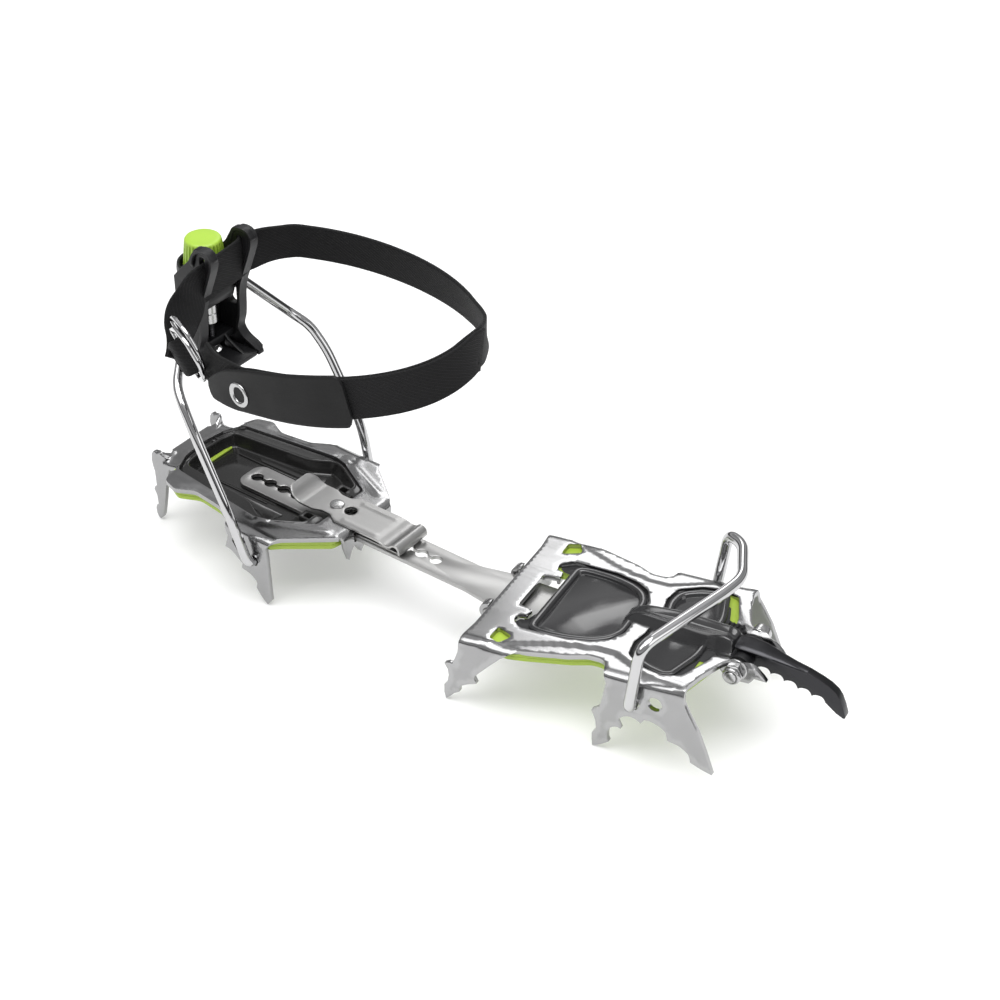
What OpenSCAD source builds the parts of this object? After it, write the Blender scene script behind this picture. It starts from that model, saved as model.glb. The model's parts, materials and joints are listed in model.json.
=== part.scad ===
/* [Overall] */
// Height of the heel frame's top face above the ground
frame_h = 36.1; // [34:0.1:38]
// Thickness of the stamped frames
sheet = 2.2; // [1.8:0.1:2.4]
// Gap left between pieces that lie on each other
gap = 0.1; // [0.05:0.05:0.15]

/* [Front section] */
// Distance from the bar hinge's datum to the heel frame's datum
front_x = 5; // [4:0.5:6]
// Inward turn of the front section, degrees (right foot)
front_yaw = 8.5; // [6:0.5:9]
// Nose-up tilt of the front section on its points, degrees
front_pitch = 5; // [4:0.5:5.5]
// Half distance between the outer faces of the side point plates
side_v = 39.6; // [39:0.1:40]
// Diameter of the toe bail wire
toe_wire = 5; // [4.5:0.1:5.2]
// Diameter of the bail holes in the side plates
bail_hole = 6.5; // [6:0.1:7]
// Thickness of the mono point
blade_t = 4; // [3.5:0.5:5]

/* [Centre bar] */
// Width of the centre bar
bar_w = 17; // [15:0.5:17.5]
// Thickness of the centre bar
bar_t = 2; // [1.5:0.1:2]
// Distance between length adjustment holes
hole_pitch = 8; // [7.5:0.5:8]
// Diameter of the length adjustment holes
hole_d = 5.6; // [5.4:0.1:6]
// Number of length adjustment holes
hole_n = 14; // [12:1:14]
// Hole that holds the clip pin, counted from the rear
pin_hole = 6; // [6:1:6]

/* [Heel section] */
// Diameter of the heel bail wire
heel_wire = 4.5; // [4:0.1:4.8]
// Half distance between the heel side plates' outer faces
heel_v = 39.6; // [39:0.1:40]
// Height of the heel bail's rear pivot above the frame's top face
carriage_h = 86; // [85:0.5:87]

/* [Strap] */
// Width of the webbing
webbing_w = 19; // [18:0.5:20]
// Thickness of the webbing
webbing_t = 1.5; // [1.2:0.1:1.6]

/* [Hidden] */

$fn = 48;
steel = [0.78, 0.79, 0.80];
black = [0.10, 0.10, 0.11];
green = [0.62, 0.74, 0.24];
smoke = [0.26, 0.26, 0.27];
chrome = [0.86, 0.87, 0.88];

// The origin is the middle of the footprint box, on the ground.
origin_x = 2.26;
origin_y = -5.85;

// Bar, hinge and clip levels, measured from the heel frame's top face.
bar_top = -4.2;
bar_rear = -133;
bar_y = -0.4;
hole_0 = -126.9;
pin_x = hole_0 + pin_hole * hole_pitch;
hinge_u = 9;
hinge_w = -4.4;
horn_r = 2.1;

// ---- helpers -----------------------------------------------------------------

function unit(v) = v / norm(v);
function flat(p) = [p[0], p[1]];
function arc(c, r, a0, a1, n = 8) =
  [for (i = [0:n]) c + r * [cos(a0 + (a1 - a0) * i / n), sin(a0 + (a1 - a0) * i / n)]];
function turn(a) = (a + 540) % 360 - 180;

// Corner p1 of a polygon, rounded to radius r as far as its sides allow.
function fillet(p0, p1, p2, r, n = 5) =
  let (a = unit(p0 - p1), b = unit(p2 - p1), half = acos(a * b) / 2)
  half > 88 ? [p1] :
  let (d = min(r / tan(half), 0.45 * norm(p0 - p1), 0.45 * norm(p2 - p1)),
       rr = d * tan(half), c = p1 + unit(a + b) * rr / sin(half),
       s = p1 + a * d - c, e = p1 + b * d - c, a0 = atan2(s[1], s[0]),
       da = turn(atan2(e[1], e[0]) - a0))
  arc(c, rr, a0, a0 + da, n);

// Outline from corners [x, y, radius]; a missing radius leaves the corner sharp.
function rounded(p) = let (n = len(p))
  [for (i = [0:n - 1]) each len(p[i]) > 2 && p[i][2] > 0
    ? fillet(flat(p[(i + n - 1) % n]), flat(p[i]), flat(p[(i + 1) % n]), p[i][2])
    : [flat(p[i])]];

// A half outline on the +y side, joined to its mirror image.
function flip(p) = len(p) > 2 ? [p[0], -p[1], p[2]] : [p[0], -p[1]];
function both(h) = concat(h, [for (i = [len(h) - 1:-1:0]) if (h[i][1] > 0.001) flip(h[i])]);
// The mirror of a half outline alone, for a window that stays on one side.
function mirrored(h) = [for (i = [len(h) - 1:-1:0]) flip(h[i])];
// Outline of a slot between two centres.
function slot(p, q, r) = let (a = atan2(q[1] - p[1], q[0] - p[0]))
  concat(arc(p, r, a + 90, a + 270, 12), arc(q, r, a - 90, a + 90, 12));

// A path in space with its corners rounded: points [x, y, z, cut length].
function at3(p) = [p[0], p[1], p[2]];
function smooth(p, n = 5) = [for (i = [0:len(p) - 1])
  each i == 0 || i == len(p) - 1 || len(p[i]) < 4 ? [at3(p[i])] :
    let (q = at3(p[i]), a = at3(p[i - 1]) - q, b = at3(p[i + 1]) - q,
         d = min(p[i][3], 0.48 * norm(a), 0.48 * norm(b)), s = q + unit(a) * d,
         e = q + unit(b) * d)
    [for (j = [0:n]) let (t = j / n) s * (1 - t) * (1 - t) + 2 * q * t * (1 - t) + e * t * t]];
function tangents(p) = [for (i = [0:len(p) - 1])
  unit(p[min(i + 1, len(p) - 1)] - p[max(i - 1, 0)])];
// Normals carried along a path without twist.
function carried(t, n0) = [for (i = 0, n = unit(n0 - t[0] * (n0 * t[0])); i < len(t);
  i = i + 1, n = i < len(t) ? unit(n - t[i] * (n * t[i])) : n) n];

// Round wire along a path, one closed skin.
module wire(path, d, sides = 16) {
  p = smooth(path);
  t = tangents(p);
  n = carried(t, [1, 0, 0.3]);
  pts = [for (i = [0:len(p) - 1], k = [0:sides - 1]) let (a = 360 * k / sides)
    p[i] + d / 2 * (cos(a) * n[i] + sin(a) * cross(t[i], n[i]))];
  m = len(p) - 1;
  polyhedron(points = pts, faces = concat(
    [[for (k = [0:sides - 1]) k]],
    [for (i = [0:m - 1], k = [0:sides - 1]) let (a = i * sides, b = (k + 1) % sides)
      each [[a + k, a + sides + k, a + b], [a + b, a + sides + k, a + sides + b]]],
    [[for (k = [sides - 1:-1:0]) m * sides + k]]));
}

// Flat strip along a path: centres c, a width vector for each, width w, thickness t.
module strip(c, wv, w, t) {
  tg = tangents(c);
  m = len(c) - 1;
  pts = [for (i = [0:m]) let (a = unit(wv[i] - tg[i] * (wv[i] * tg[i])), b = cross(tg[i], a),
      h = is_list(w) ? w[i] / 2 : w / 2)
    each [c[i] + a * h + b * t / 2, c[i] - a * h + b * t / 2,
          c[i] - a * h - b * t / 2, c[i] + a * h - b * t / 2]];
  polyhedron(points = pts, faces = concat([[0, 1, 2, 3]],
    [for (i = [0:m - 1], k = [0:3]) let (a = 4 * i, b = (k + 1) % 4)
      each [[a + k, a + 4 + k, a + b], [a + b, a + 4 + k, a + 4 + b]]],
    [[4 * m + 3, 4 * m + 2, 4 * m + 1, 4 * m]]));
}

// Plate lying flat: outline in x and y, top face at z, thickness t.
module plate(outline, z, t) translate([0, 0, z - t]) linear_extrude(t) polygon(outline);
// Plate standing on edge: outline in x and z, outer face at y, on the side given by s.
module upright(outline, y, t, s = 1)
  translate([0, s > 0 ? y : -y + t, 0]) rotate([90, 0, 0]) linear_extrude(t) polygon(outline);
// Round bar along y, from y0 to y1.
module ybar(x, z, r, y0, y1) translate([x, y1, z]) rotate([90, 0, 0]) cylinder(h = y1 - y0, r = r);
module both_sides() { children(); mirror([0, 1, 0]) children(); }

// ---- placing -------------------------------------------------------------------

// The heel section's frame: x forward, z = 0 on the heel frame's top face.
module at_heel() translate([origin_x, origin_y, frame_h]) children();
// Upright frame turned inward at the hinge; the centre bar's T end lies in it.
module at_turn() at_heel() translate([front_x, 0, -1.6]) rotate([0, 0, front_yaw]) children();
// The front section's frame: z = 0 on the front frame's top face.
module at_front() at_turn() rotate([0, -front_pitch, 0]) children();

// ---- front section -------------------------------------------------------------

front_half = [[10.5, 42.8, 3], [30, 42.8, 4], [37, 40, 9], [56, 34.5, 9], [64, 31, 6], [71, 31, 6],
  [76, side_v, 3], [109.6, side_v, 2], [109.8, 34, 3], [112.2, 26, 8], [116.2, 16, 8],
  [119.6, 10.6, 1], [118, 8.4, 1], [112, 8.4, 2], [110, 0]];
window_a = [[21.3, 0], [21.3, 11.2, 1.5], [26.8, 12.2, 0.6], [29, 13.2, 0.5], [28, 16.8, 0.8],
  [25, 17.6, 1.5], [24, 21.5, 3], [29, 25.8, 5], [50, 25.2, 10], [61, 22.6, 8], [68, 18.5, 4],
  [71.6, 12, 2], [71.6, 0]];
window_b = [[79.5, 0], [79.3, 9, 1], [77.6, 16, 3], [79, 24.5, 4], [88, 30, 6], [97, 31.8, 5],
  [105, 29, 4], [111, 15, 4], [111, 0]];
window_tri = [[21, 28.6, 1.2], [20.8, 36.8, 1.6], [26.2, 38.8, 1.6], [29.6, 32.6, 1.6]];
rear_point = [[11, 0], [8.5, -7], [5.2, -14.6], [1.3, -15.2], [2.7, -21.2], [1.9, -25], [0.2, -26.8],
  [0.4, -34.6], [4.7, -30.4], [7.3, -28.9], [8.4, -25.3], [12.5, -23.2], [16.2, -21.8],
  [16.1, -17.6], [24.4, -9.2], [32, -2.2], [32, 0]];
side_points = concat([[77, 0], [75.8, -5.6], [72.4, -18.6], [68.6, -21.4], [70.2, -26.5], [69.9, -31.6],
  [68, -33.8], [68, -40.58], [72, -38.6], [75.7, -36.1], [74.9, -33.2]],
  arc([80.6, -31.9], 5.2, 170, 95, 5), [[81.6, -27.2], [80.4, -23.9]],
  arc([86.3, -25.4], 6, 155, 48, 6), [[90.9, -21.5], [92.6, -19.2]],
  arc([93.8, -29.9], 11, 84, 40, 5), [[102.3, -26.9]],
  arc([103.6, -37.6], 10.6, 72, 38, 4), [[112.7, -34.9], [122.4, -38.6], [116.2, -18], [110.2, -5.6],
  [109, 0]]);
// Where the wires pass through the side plates.
bail_u = 87.6;
bail_w = -12.2;
spare_u = 97.7;
spare_w = -9.7;
// Cross bolt of the mono point.
bolt_u = 121;
bolt_w = -4.6;
bolt_r = 2.5;
front_flange = [[112, 0], [121.5, 0], [125, -0.6], [129.5, -3.2], [134, -8.2], [128.5, -7.8],
  [126, -11], [116, -11], [112, -5]];

// Sheet loop of the front frame that holds one horn of the centre bar.
module horn_loop() {
  translate([hinge_u, 16.6, hinge_w]) rotate([90, 0, 0])
    rotate_extrude(angle = 210, start = 80) translate([horn_r + 0.06, 0]) square([sheet, 4.6]);
  translate([hinge_u - 0.4, 12, -sheet]) cube([2.4, 4.6, sheet]);
}

module front_frame() color(steel) at_front() difference() {
  union() {
    difference() {
      plate(rounded(both(front_half)), 0, sheet);
      plate(rounded(both(window_a)), 1, sheet + 2);
      plate(rounded(both(window_b)), 1, sheet + 2);
      plate(rounded(window_tri), 1, sheet + 2);
      plate(rounded(mirrored(window_tri)), 1, sheet + 2);
    }
    both_sides() {
      upright(rear_point, 42.8, sheet);
      upright(side_points, side_v, sheet);
      upright(front_flange, 10.6, sheet);
      horn_loop();
      translate([26.5, 13, -4.6]) cube([1.8, 3.8, 4.6]);
    }
  }
  both_sides() {
    ybar(bail_u, bail_w, bail_hole / 2, 30, 50);
    ybar(spare_u, spare_w, bail_hole / 2, 30, 50);
    ybar(bolt_u, bolt_w, bolt_r + 0.1, 5, 15);
    // room for the washer, head and nut outside the flange
    ybar(bolt_u, bolt_w, 5.1, 10.6, 20);
  }
}

base_half = [[12.5, 19.5, 2], [12.5, 39.5, 3], [31, 40, 4], [38, 38.6, 9], [57, 33.4, 9], [65, 30, 6],
  [71, 30, 6], [76.5, 36.6, 3], [107.6, 36.6, 4], [108, 33, 4], [110.6, 24, 6], [113.8, 13.5, 2],
  [106, 12, 3], [100, 0]];
base_notch = [[0, 0], [0, 19.5], [34, 19.5, 2], [34, 0]];

module front_abs_base() color(green) at_front() difference() {
  plate(rounded(both(base_half)), -sheet - gap, 4);
  plate(rounded(both(base_notch)), 0, 9);
}

cover_a = [[31.2, 0], [31.2, 23.4, 4], [38, 25, 4], [50, 24.4, 9], [60.5, 21.8, 8], [67, 18, 4],
  [70.8, 11.6, 2], [70.8, 0]];
cover_b = [[80.3, 0], [80.1, 9.4, 1], [78.5, 16, 3], [79.9, 24, 4], [88.3, 29.2, 6], [97, 31, 5],
  [101, 29.6, 3], [106, 14, 4], [106, 0]];

// Ridge that runs over the frame's bridge to the mono point.
module spine() {
  hull() {
    translate([67, -7, gap]) cube([2, 14, 0.6]);
    translate([72, -7.5, gap]) cube([8, 15, 1.2]);
    translate([77, -2, gap]) cube([3, 4, 5.6]);
  }
  hull() {
    translate([78, -7.5, gap]) cube([2, 15, 1.2]);
    translate([77, -2, gap]) cube([3, 4, 5.6]);
    translate([112, -2, gap]) cube([5, 4, 4.6]);
    translate([112, -6, gap]) cube([3, 12, 1.2]);
  }
}

module front_abs_cover() color(smoke) at_front() {
  difference() {
    union() {
      plate(rounded(both(cover_a)), -0.6, sheet - 0.6);
      plate(rounded(both(cover_b)), -0.6, sheet - 0.6);
      spine();
      translate([66.5, -6, -sheet]) cube([4, 12, sheet + 0.5]);
      translate([80.4, -6, -sheet]) cube([8, 12, sheet + 0.5]);
    }
  }
}

// Serrated lower edge of the mono point: teeth along a falling line.
tooth_n = 5;
tooth_edge = [for (i = [tooth_n - 1:-1:0]) let (u = 129.6 + i * 5.4, w = -9.4 - i * 1.95)
  each [[u + 5.4, w - 1.95], [u + 5.2, w + 0.6], [u + 3.4, w + 1.4], [u + 1.4, w + 0.9], [u, w]]];
blade_half = concat([[104, -4], [117.2, -0.2], [118, 0.6], [127, 0.6],
  [148.5, -5], [160.6, -11.6], [164.8, -23.4],
  [160.5, -21.8]], tooth_edge, [[127, -9.6], [112, -9.6], [104, -9.6]]);

module front_point() color([0.24, 0.24, 0.25]) at_front() difference() {
  union() {
    translate([0, blade_t / 2, 0]) rotate([90, 0, 0]) linear_extrude(blade_t) polygon(blade_half);
    // flanged hood over the rear of the blade
    hull() {
      translate([117.5, -5, 0.4]) cube([3, 10, 1.6]);
      translate([128, -4.6, -0.9]) cube([2, 9.2, 1.8]);
      translate([147, -blade_t / 2, -5.2]) cube([1, blade_t, 1]);
    }
  }
  ybar(bolt_u, bolt_w, bolt_r + 0.1, -10, 10);
}

module point_spacers() color(black) at_front() both_sides() difference() {
  ybar(bolt_u, bolt_w, 4.2, blade_t / 2 + 0.05, 8.3);
  ybar(bolt_u, bolt_w, bolt_r + 0.1, 0, 12);
}

module point_washers() color(chrome) at_front() both_sides() difference() {
  ybar(bolt_u, bolt_w, 4.9, 10.65, 11.65);
  ybar(bolt_u, bolt_w, bolt_r + 0.1, 5, 14);
}

module point_bolt() color(chrome) at_front() union() {
  ybar(bolt_u, bolt_w, bolt_r, -17.6, 11.8);
  difference() {
    ybar(bolt_u, bolt_w, 4.2, 11.7, 16.2);
    translate([bolt_u, 17, bolt_w]) rotate([90, 0, 0]) cylinder(h = 3.4, r = 2.3, $fn = 6);
  }
}

module point_nut() color(chrome) at_front() difference() {
  union() {
    translate([bolt_u, -11.7, bolt_w]) rotate([90, 0, 0]) cylinder(h = 3.6, r = 4.6, $fn = 6);
    ybar(bolt_u, bolt_w, 3.9, -17.1, -15.2);
  }
  ybar(bolt_u, bolt_w, bolt_r, -20, -10);
}

// Toe bail: both ends sit in the side plates, the hoop bulges towards the big toe.
toe_out = side_v + 3.6;
toe_path = [[bail_u, -side_v + 5.2, bail_w], [bail_u, -toe_out, bail_w, 4],
  [94.4, -43.4, 20.8, 7], [110.5, 4, 21.5, 40], [112.8, 15, 21.5, 12], [103.6, 37, 21.5, 8],
  [94.4, 43.4, 20.3, 4.5], [bail_u, toe_out, bail_w, 4], [bail_u, side_v - 5.2, bail_w]];

module toe_bail() color(chrome) at_front() wire(toe_path, toe_wire);

// ---- centre bar ------------------------------------------------------------------

bar_plan = [[bar_rear, bar_w / 2, 4.5], [6, bar_w / 2, 0]];
t_half = [[-4, 8.2], [5, 11.2, 3], [31, 11.2, 1.5]];

module center_bar() color(steel) union() {
  at_heel() translate([0, bar_y, 0]) difference() {
    plate(rounded(both(bar_plan)), bar_top, bar_t);
    for (i = [0:hole_n - 1]) translate([hole_0 + i * hole_pitch, 0, bar_top - bar_t - 1])
      cylinder(h = bar_t + 2, d = hole_d);
    translate([hole_0, -0.8, bar_top - bar_t - 1]) cube([(hole_n - 1) * hole_pitch, 1.6, bar_t + 2]);
  }
  at_turn() {
    plate(rounded(both(t_half)), bar_top + 1.6, bar_t);
    ybar(horn_x, horn_z, horn_r, 9, 17.4);
    mirror([0, 1, 0]) ybar(horn_x, horn_z, horn_r, 9, 17.4);
  }
}
// The hinge axis, seen from the turned frame.
horn_x = hinge_u * cos(front_pitch) - hinge_w * sin(front_pitch);
horn_z = hinge_u * sin(front_pitch) + hinge_w * cos(front_pitch);

// ---- heel section ----------------------------------------------------------------

heel_half = [[-169, 12, 4], [-165.5, 20.5, 2.5], [-158.5, 24, 5], [-155, 31.5, 4], [-147, 34, 4],
  [-138, 29.5, 7], [-122, 31.5, 9], [-113, 37.5, 4], [-110, heel_v, 2], [-86.5, heel_v, 2.5],
  [-83, 34.5, 4], [-66, 20.5, 5], [-61.5, 17, 1.5]];
heel_window = [[-161.5, 0], [-160, 13, 3], [-155.5, 22.5, 4], [-104, 28.8, 7], [-97, 27, 5],
  [-77.4, 16.2, 2.5], [-77.4, 0]];
rear_spike = [[-160, -2.2], [-160, 0], [-166, 0], [-167.6, 1.6], [-170, 3], [-173.3, 1.4], [-174, -3],
  [-172.6, -9], [-172.4, -17], [-174.2, -19.6], [-172.8, -22.6], [-172.4, -27.6], [-174.2, -30.6],
  [-173.6, -34.2], [-171.9, -36.1], [-169.6, -32.4], [-167, -20], [-165.4, -11], [-163.4, -2.2]];
heel_points = concat([[-109.5, 0], [-109.8, -5.6], [-110.6, -9.4], [-112.4, -14]],
  arc([-112.6, -24.4], 10.6, 83, 40, 5), [[-103.2, -21.8]],
  arc([-102.6, -33.6], 11.6, 88, 46, 5), [[-95.2, -29]],
  [[-93.2, -31.4], [-90.4, -34.6], [-88.6, -36.1], [-86.4, -33], [-87.4, -10], [-88, 0]]);
heel_bail_x = -95.3;
heel_bail_z = -14.2;
// Front wall of the heel frame: two points a side and the slot that guides the bar.
heel_front = [[-16.8, 0], [-15.4, -8], [-13.4, -14.6], [-11.2, -10], [-9.4, -8.2], [-7.6, -10.4],
  [-5.2, -14.4], [-2.8, -11.4], [0, -10.2]];

module heel_frame() color(steel) at_heel() difference() {
  union() {
    difference() {
      plate(rounded(both(heel_half)), 0, sheet);
      plate(rounded(both(heel_window)), 1, sheet + 2);
    }
    both_sides() {
      upright(rear_spike, 21, sheet);
      upright(heel_points, heel_v, sheet);
    }
    translate([-61.5 - sheet, 0, 0]) rotate([90, 0, 90]) linear_extrude(sheet)
      polygon(concat(heel_front, [for (i = [len(heel_front) - 2:-1:0]) [-heel_front[i][0], heel_front[i][1]]]));
  }
  both_sides() {
    ybar(heel_bail_x, heel_bail_z, 2.7, 30, 50);
    upright(slot([-106.4, -8.4], [-103.2, -13], 1.3), 50, 20);
  }
  translate([pin_x, bar_y, -5]) cylinder(h = 8, r = 3.2);
  translate([-70, -9.6, -6.9]) cube([15, 19.2, 4.7]);
  leaf_rivet_sites() cylinder(h = 8, r = 1.5, center = true);
}
module leaf_rivet_sites() for (y = [-5.5, 5.5]) translate([-67.5, bar_y + y, -2]) children();

heel_base_half = [[-165, 11, 4], [-160.5, 19, 3], [-156, 28, 4], [-147, 32.4, 4], [-137, 27.8, 7],
  [-122, 29.8, 9], [-113, 35, 4], [-110, 36.8, 2], [-88, 36.8, 2.5], [-84, 33, 4], [-66, 19.2, 4],
  [-64.4, 10, 1]];
tray_hole = [[-156.5, 0], [-156.5, 21.6, 4], [-104, 25.6, 5], [-79.6, 14.5, 4], [-79.6, 9.8],
  [-60, 9.8], [-60, 0]];

module heel_abs_base() color(green) at_heel() difference() {
  plate(rounded(both(heel_base_half)), -sheet - gap, 4.6);
  plate(rounded(both(tray_hole)), 0, 12);
}

tray_rim = [[-160.8, 0], [-159.3, 12.6, 3], [-155, 22, 4], [-104, 28.1, 7], [-97.3, 26.2, 5],
  [-82.6, 18.2, 2.5], [-82.6, 0]];
tray_out = [[-156, 0], [-156, 17, 3], [-104, 17, 3], [-83, 14, 3], [-83, 0]];
tray_in = [[-153.6, 0], [-153.6, 14.6, 3], [-104, 14.6, 3], [-84, 12.6, 2], [-84, 10, 0.5],
  [-60, 10], [-60, 0]];
tray_floor = -7;

module heel_abs_tray() color(black) at_heel() difference() {
  union() {
    plate(rounded(both(tray_rim)), -0.7, 1.5);
    plate(rounded(both(tray_out)), -1, 8.2);
  }
  translate([0, 0, tray_floor]) linear_extrude(9) polygon(rounded(both(tray_in)));
}

// Spring clip: one folded leaf, split at its rolled front where it flexes.
clip_t = 0.9;
roll_x = -38.4;
roll_z = -1;
roll_r = 2.65;
clip_axis = concat([[-101.4, 5.4], [-99, 4.1]], arc([-91.5, 9.7], 9.1, 228, 266, 5),
  [[-86, 0.62], [-50, 0.62], [-47.5, 0.45],
  [-45.6, -0.05], [-44, -0.35], [-42.5, -0.3]], arc([roll_x, roll_z], roll_r, 156, -28, 12));
leaf_axis = concat(arc([roll_x, roll_z], roll_r, -38, -90, 6), [[-44, roll_z - roll_r],
  [-73, roll_z - roll_r]]);

function sides_of(p, t) = let (n = len(p))
  concat([for (i = [0:n - 1]) p[i] + t / 2 * across(p, i)],
         [for (i = [n - 1:-1:0]) p[i] - t / 2 * across(p, i)]);
function across(p, i) = let (d = unit(p[min(i + 1, len(p) - 1)] - p[max(i - 1, 0)])) [-d[1], d[0]];

clip_plan = [[-102, 6.4, 2], [-98.6, 8.8, 2.5], [-86, 8.8, 3], [-82, 7.2, 3], [-77, 7.2, 3],
  [-73, 9.9, 3], [-30, 9.9]];
module spring_clip() color(steel) at_heel() translate([0, bar_y, 0]) difference() {
  intersection() {
    translate([0, 12, 0]) rotate([90, 0, 0]) linear_extrude(24) polygon(sides_of(clip_axis, clip_t));
    translate([0, 0, -10]) linear_extrude(30) polygon(rounded(both(clip_plan)));
  }
  translate([pin_x, 0, -3]) cylinder(h = 10, r = 2.6);
  translate([pin_x + hole_pitch, 0, -3]) cylinder(h = 10, r = 3.1);
}

module clip_leaf() color(steel) at_heel() translate([0, bar_y, 0]) difference() {
  translate([0, 7.5, 0]) rotate([90, 0, 0]) linear_extrude(15) polygon(sides_of(leaf_axis, clip_t));
  for (y = [-5.5, 5.5]) translate([-67.5, y, -8]) cylinder(h = 10, r = 1.5);
}

module leaf_rivets() color(chrome) at_heel() leaf_rivet_sites() {
  translate([0, 0, -1.2]) cylinder(h = 3.2, r = 1.5);
  translate([0, 0, 2]) cylinder(h = 0.12, r = 2.4);
}

module clip_pin() color(chrome) at_heel() translate([pin_x, bar_y, 0]) union() {
  translate([0, 0, bar_top - bar_t + 0.1]) cylinder(h = 7.3, r = 2.6);
  translate([0, 0, 1.08]) cylinder(h = 0.6, r = 3.3);
}

// ---- heel bail and lever -----------------------------------------------------------

lever_x = -149.6;
pivot_x = -145;
bail_out = heel_v + 3.4;
heel_path = [[heel_bail_x, -heel_v + 5, heel_bail_z], [heel_bail_x, -bail_out, heel_bail_z, 4],
  [-101.8, -45.2, 9.6, 10], [-120.2, -44.2, 44.8, 10], [-128, -42, 56, 6], [-135, -38, 61.5, 8],
  [pivot_x, -17, carriage_h, 3]];

// One wire: both ends sit in the side plates, its middle turns in the carriage.
module heel_bail() color(chrome) at_heel() wire(concat(heel_path,
  [for (i = [len(heel_path) - 1:-1:0]) let (q = heel_path[i])
    len(q) > 3 ? [q[0], -q[1], q[2], q[3]] : [q[0], -q[1], q[2]]]), heel_wire);

// Black block that the wire ends turn in; the screw pulls it up and down.
module bail_carriage() color(black) at_heel() difference() {
  translate([-153.6, -9.4, carriage_h - 4.2]) cube([12.2, 18.8, 9.6]);
  ybar(pivot_x, carriage_h, heel_wire / 2 + 0.05, -14, 14);
  translate([lever_x, 0, carriage_h - 20]) cylinder(h = 40, r = 2.05);
}

module carriage_sleeve() color(chrome) at_heel() translate([lever_x, 0, 0]) difference() {
  translate([0, 0, carriage_h - 15.2]) cylinder(h = 11, r = 3.7);
  translate([0, 0, carriage_h - 20]) cylinder(h = 40, r = 2.05);
}

module adjust_screw() color([0.2, 0.2, 0.21]) at_heel() translate([lever_x, 0, 56.6])
  cylinder(h = 41.9, r = 2);

module screw_nut() color(chrome) at_heel() translate([lever_x, 0, 0]) difference() {
  union() {
    translate([0, 0, 56.8]) cylinder(h = 2.6, r = 3.6, $fn = 6);
    translate([0, 0, 59.2]) cylinder(h = 0.6, r = 3.9);
  }
  translate([0, 0, 50]) cylinder(h = 20, r = 2);
}

knob_n = 24;
module adjust_knob() color([0.69, 0.84, 0.24]) at_heel() translate([lever_x, 0, 98]) difference() {
  union() {
    rotate_extrude() polygon([[0, 0], [8.9, 0], [9.1, 1], [7.9, 14.2], [7.1, 15], [0, 15]]);
    for (i = [0:knob_n - 1]) rotate([0, 0, i * 360 / knob_n])
      rotate_extrude(angle = 8) polygon([[6, 0.2], [9.6, 0.2], [8.3, 13.4], [6, 13.4]]);
  }
  translate([0, 0, -1]) cylinder(h = 1.5, r = 2);
}

wall_out = 13.5;
wall_t = 3;
lever_side = rounded([[-130.8, 113, 2], [-133.4, 116.6, 3], [-141.5, 116.6, 4], [-146.5, 108, 5],
  [-152.2, 102, 4], [-155.8, 98, 1], [-155.8, 56, 2], [-150, 53.6, 3], [-141, 54.6, 3], [-130.4, 54.6, 1],
  [-130.6, 57, 1], [-139.8, 59.4, 6], [-146.2, 65, 5], [-145.4, 76, 6], [-141.8, 86, 8],
  [-132.8, 108, 4]]);
module heel_lever() color(black) at_heel() difference() {
  union() {
    both_sides() upright(lever_side, wall_out, wall_t);
    // back wall, lower web and heel ledge
    translate([-155.8, -11, 56]) cube([2, 22, 42]);
    translate([-155, -11, 60]) cube([9.4, 22, 3.6]);
    translate([-155, -11, 95.4]) cube([9.4, 22, 2.3]);
    translate([0, 11, 0]) rotate([90, 0, 0]) linear_extrude(22)
      polygon([[-155.8, 53.8], [-150, 53.6], [-141, 54.6], [-136, 54.8], [-136, 56.6], [-144, 57], [-155.8, 56.2]]);
    // cup behind the knob
    translate([lever_x, 0, 88]) rotate_extrude(angle = 168, start = 96)
      translate([10.6, 0]) square([1.9, 13.5]);
    translate([-155.8, -12, 88]) cube([2, 24, 10]);
  }
  both_sides() {
    // slots for the bail's ends and for the webbing
    translate([pivot_x - 2.7, 8, 76]) cube([5.4, 10, 20]);
    translate([-139.4, 8, 89]) cube([3, 10, 24]);
  }
  translate([lever_x, 0, 50]) cylinder(h = 50, r = 2.1);
  translate([lever_x, 0, 50]) cylinder(h = 10, r = 4.4);
  translate([lever_x, 0, 97.8]) cylinder(h = 20, r = 10.5);
}

// ---- strap -------------------------------------------------------------------------

// Plan of the ankle loop: an ellipse. a is the angle, out an offset to its outside.
loop_x = -75;
loop_a = 72;
loop_b = 42;
function on_loop(a, out, z) = let (e = [loop_x + loop_a * cos(a), loop_b * sin(a)],
  n = unit([cos(a) / loop_a, sin(a) / loop_b])) [e[0] + n[0] * out, e[1] + n[1] * out, z];
// Height of the loop's centre line: level on the far side, falling on the near one.
function loop_z(a) = a >= 0 ? 107 + 3.5 * pow(max(0, 1 - a / 40), 2)
  : 110.5 + 0.29 * a - 0.006 * pow(max(0, -a - 90), 2);
up = [0, 0, 1];

module ankle_strap() color(black) at_heel() {
  c = concat([[-138, -15.4, 100], [-137.9, -12, 100], [-137.9, 0, 101], [-137.9, 12, 102.4],
    [-137, 16.2, 104]],
    [for (a = [147:-3.5:-105]) on_loop(a, 0, loop_z(a))],
    [[-104, -38.2, 77.6], [-110, -36.9, 77], [-115.4, -35.2, 77.4]]);
  strip(c, [for (p = c) up], webbing_w, webbing_t);
}

module strap_tail() color(black) at_heel() {
  c = [for (a = [-63:3.5:0]) on_loop(a, webbing_t + 0.5, loop_z(a))];
  strip(c, [for (p = c) up], webbing_w, webbing_t);
}

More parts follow.
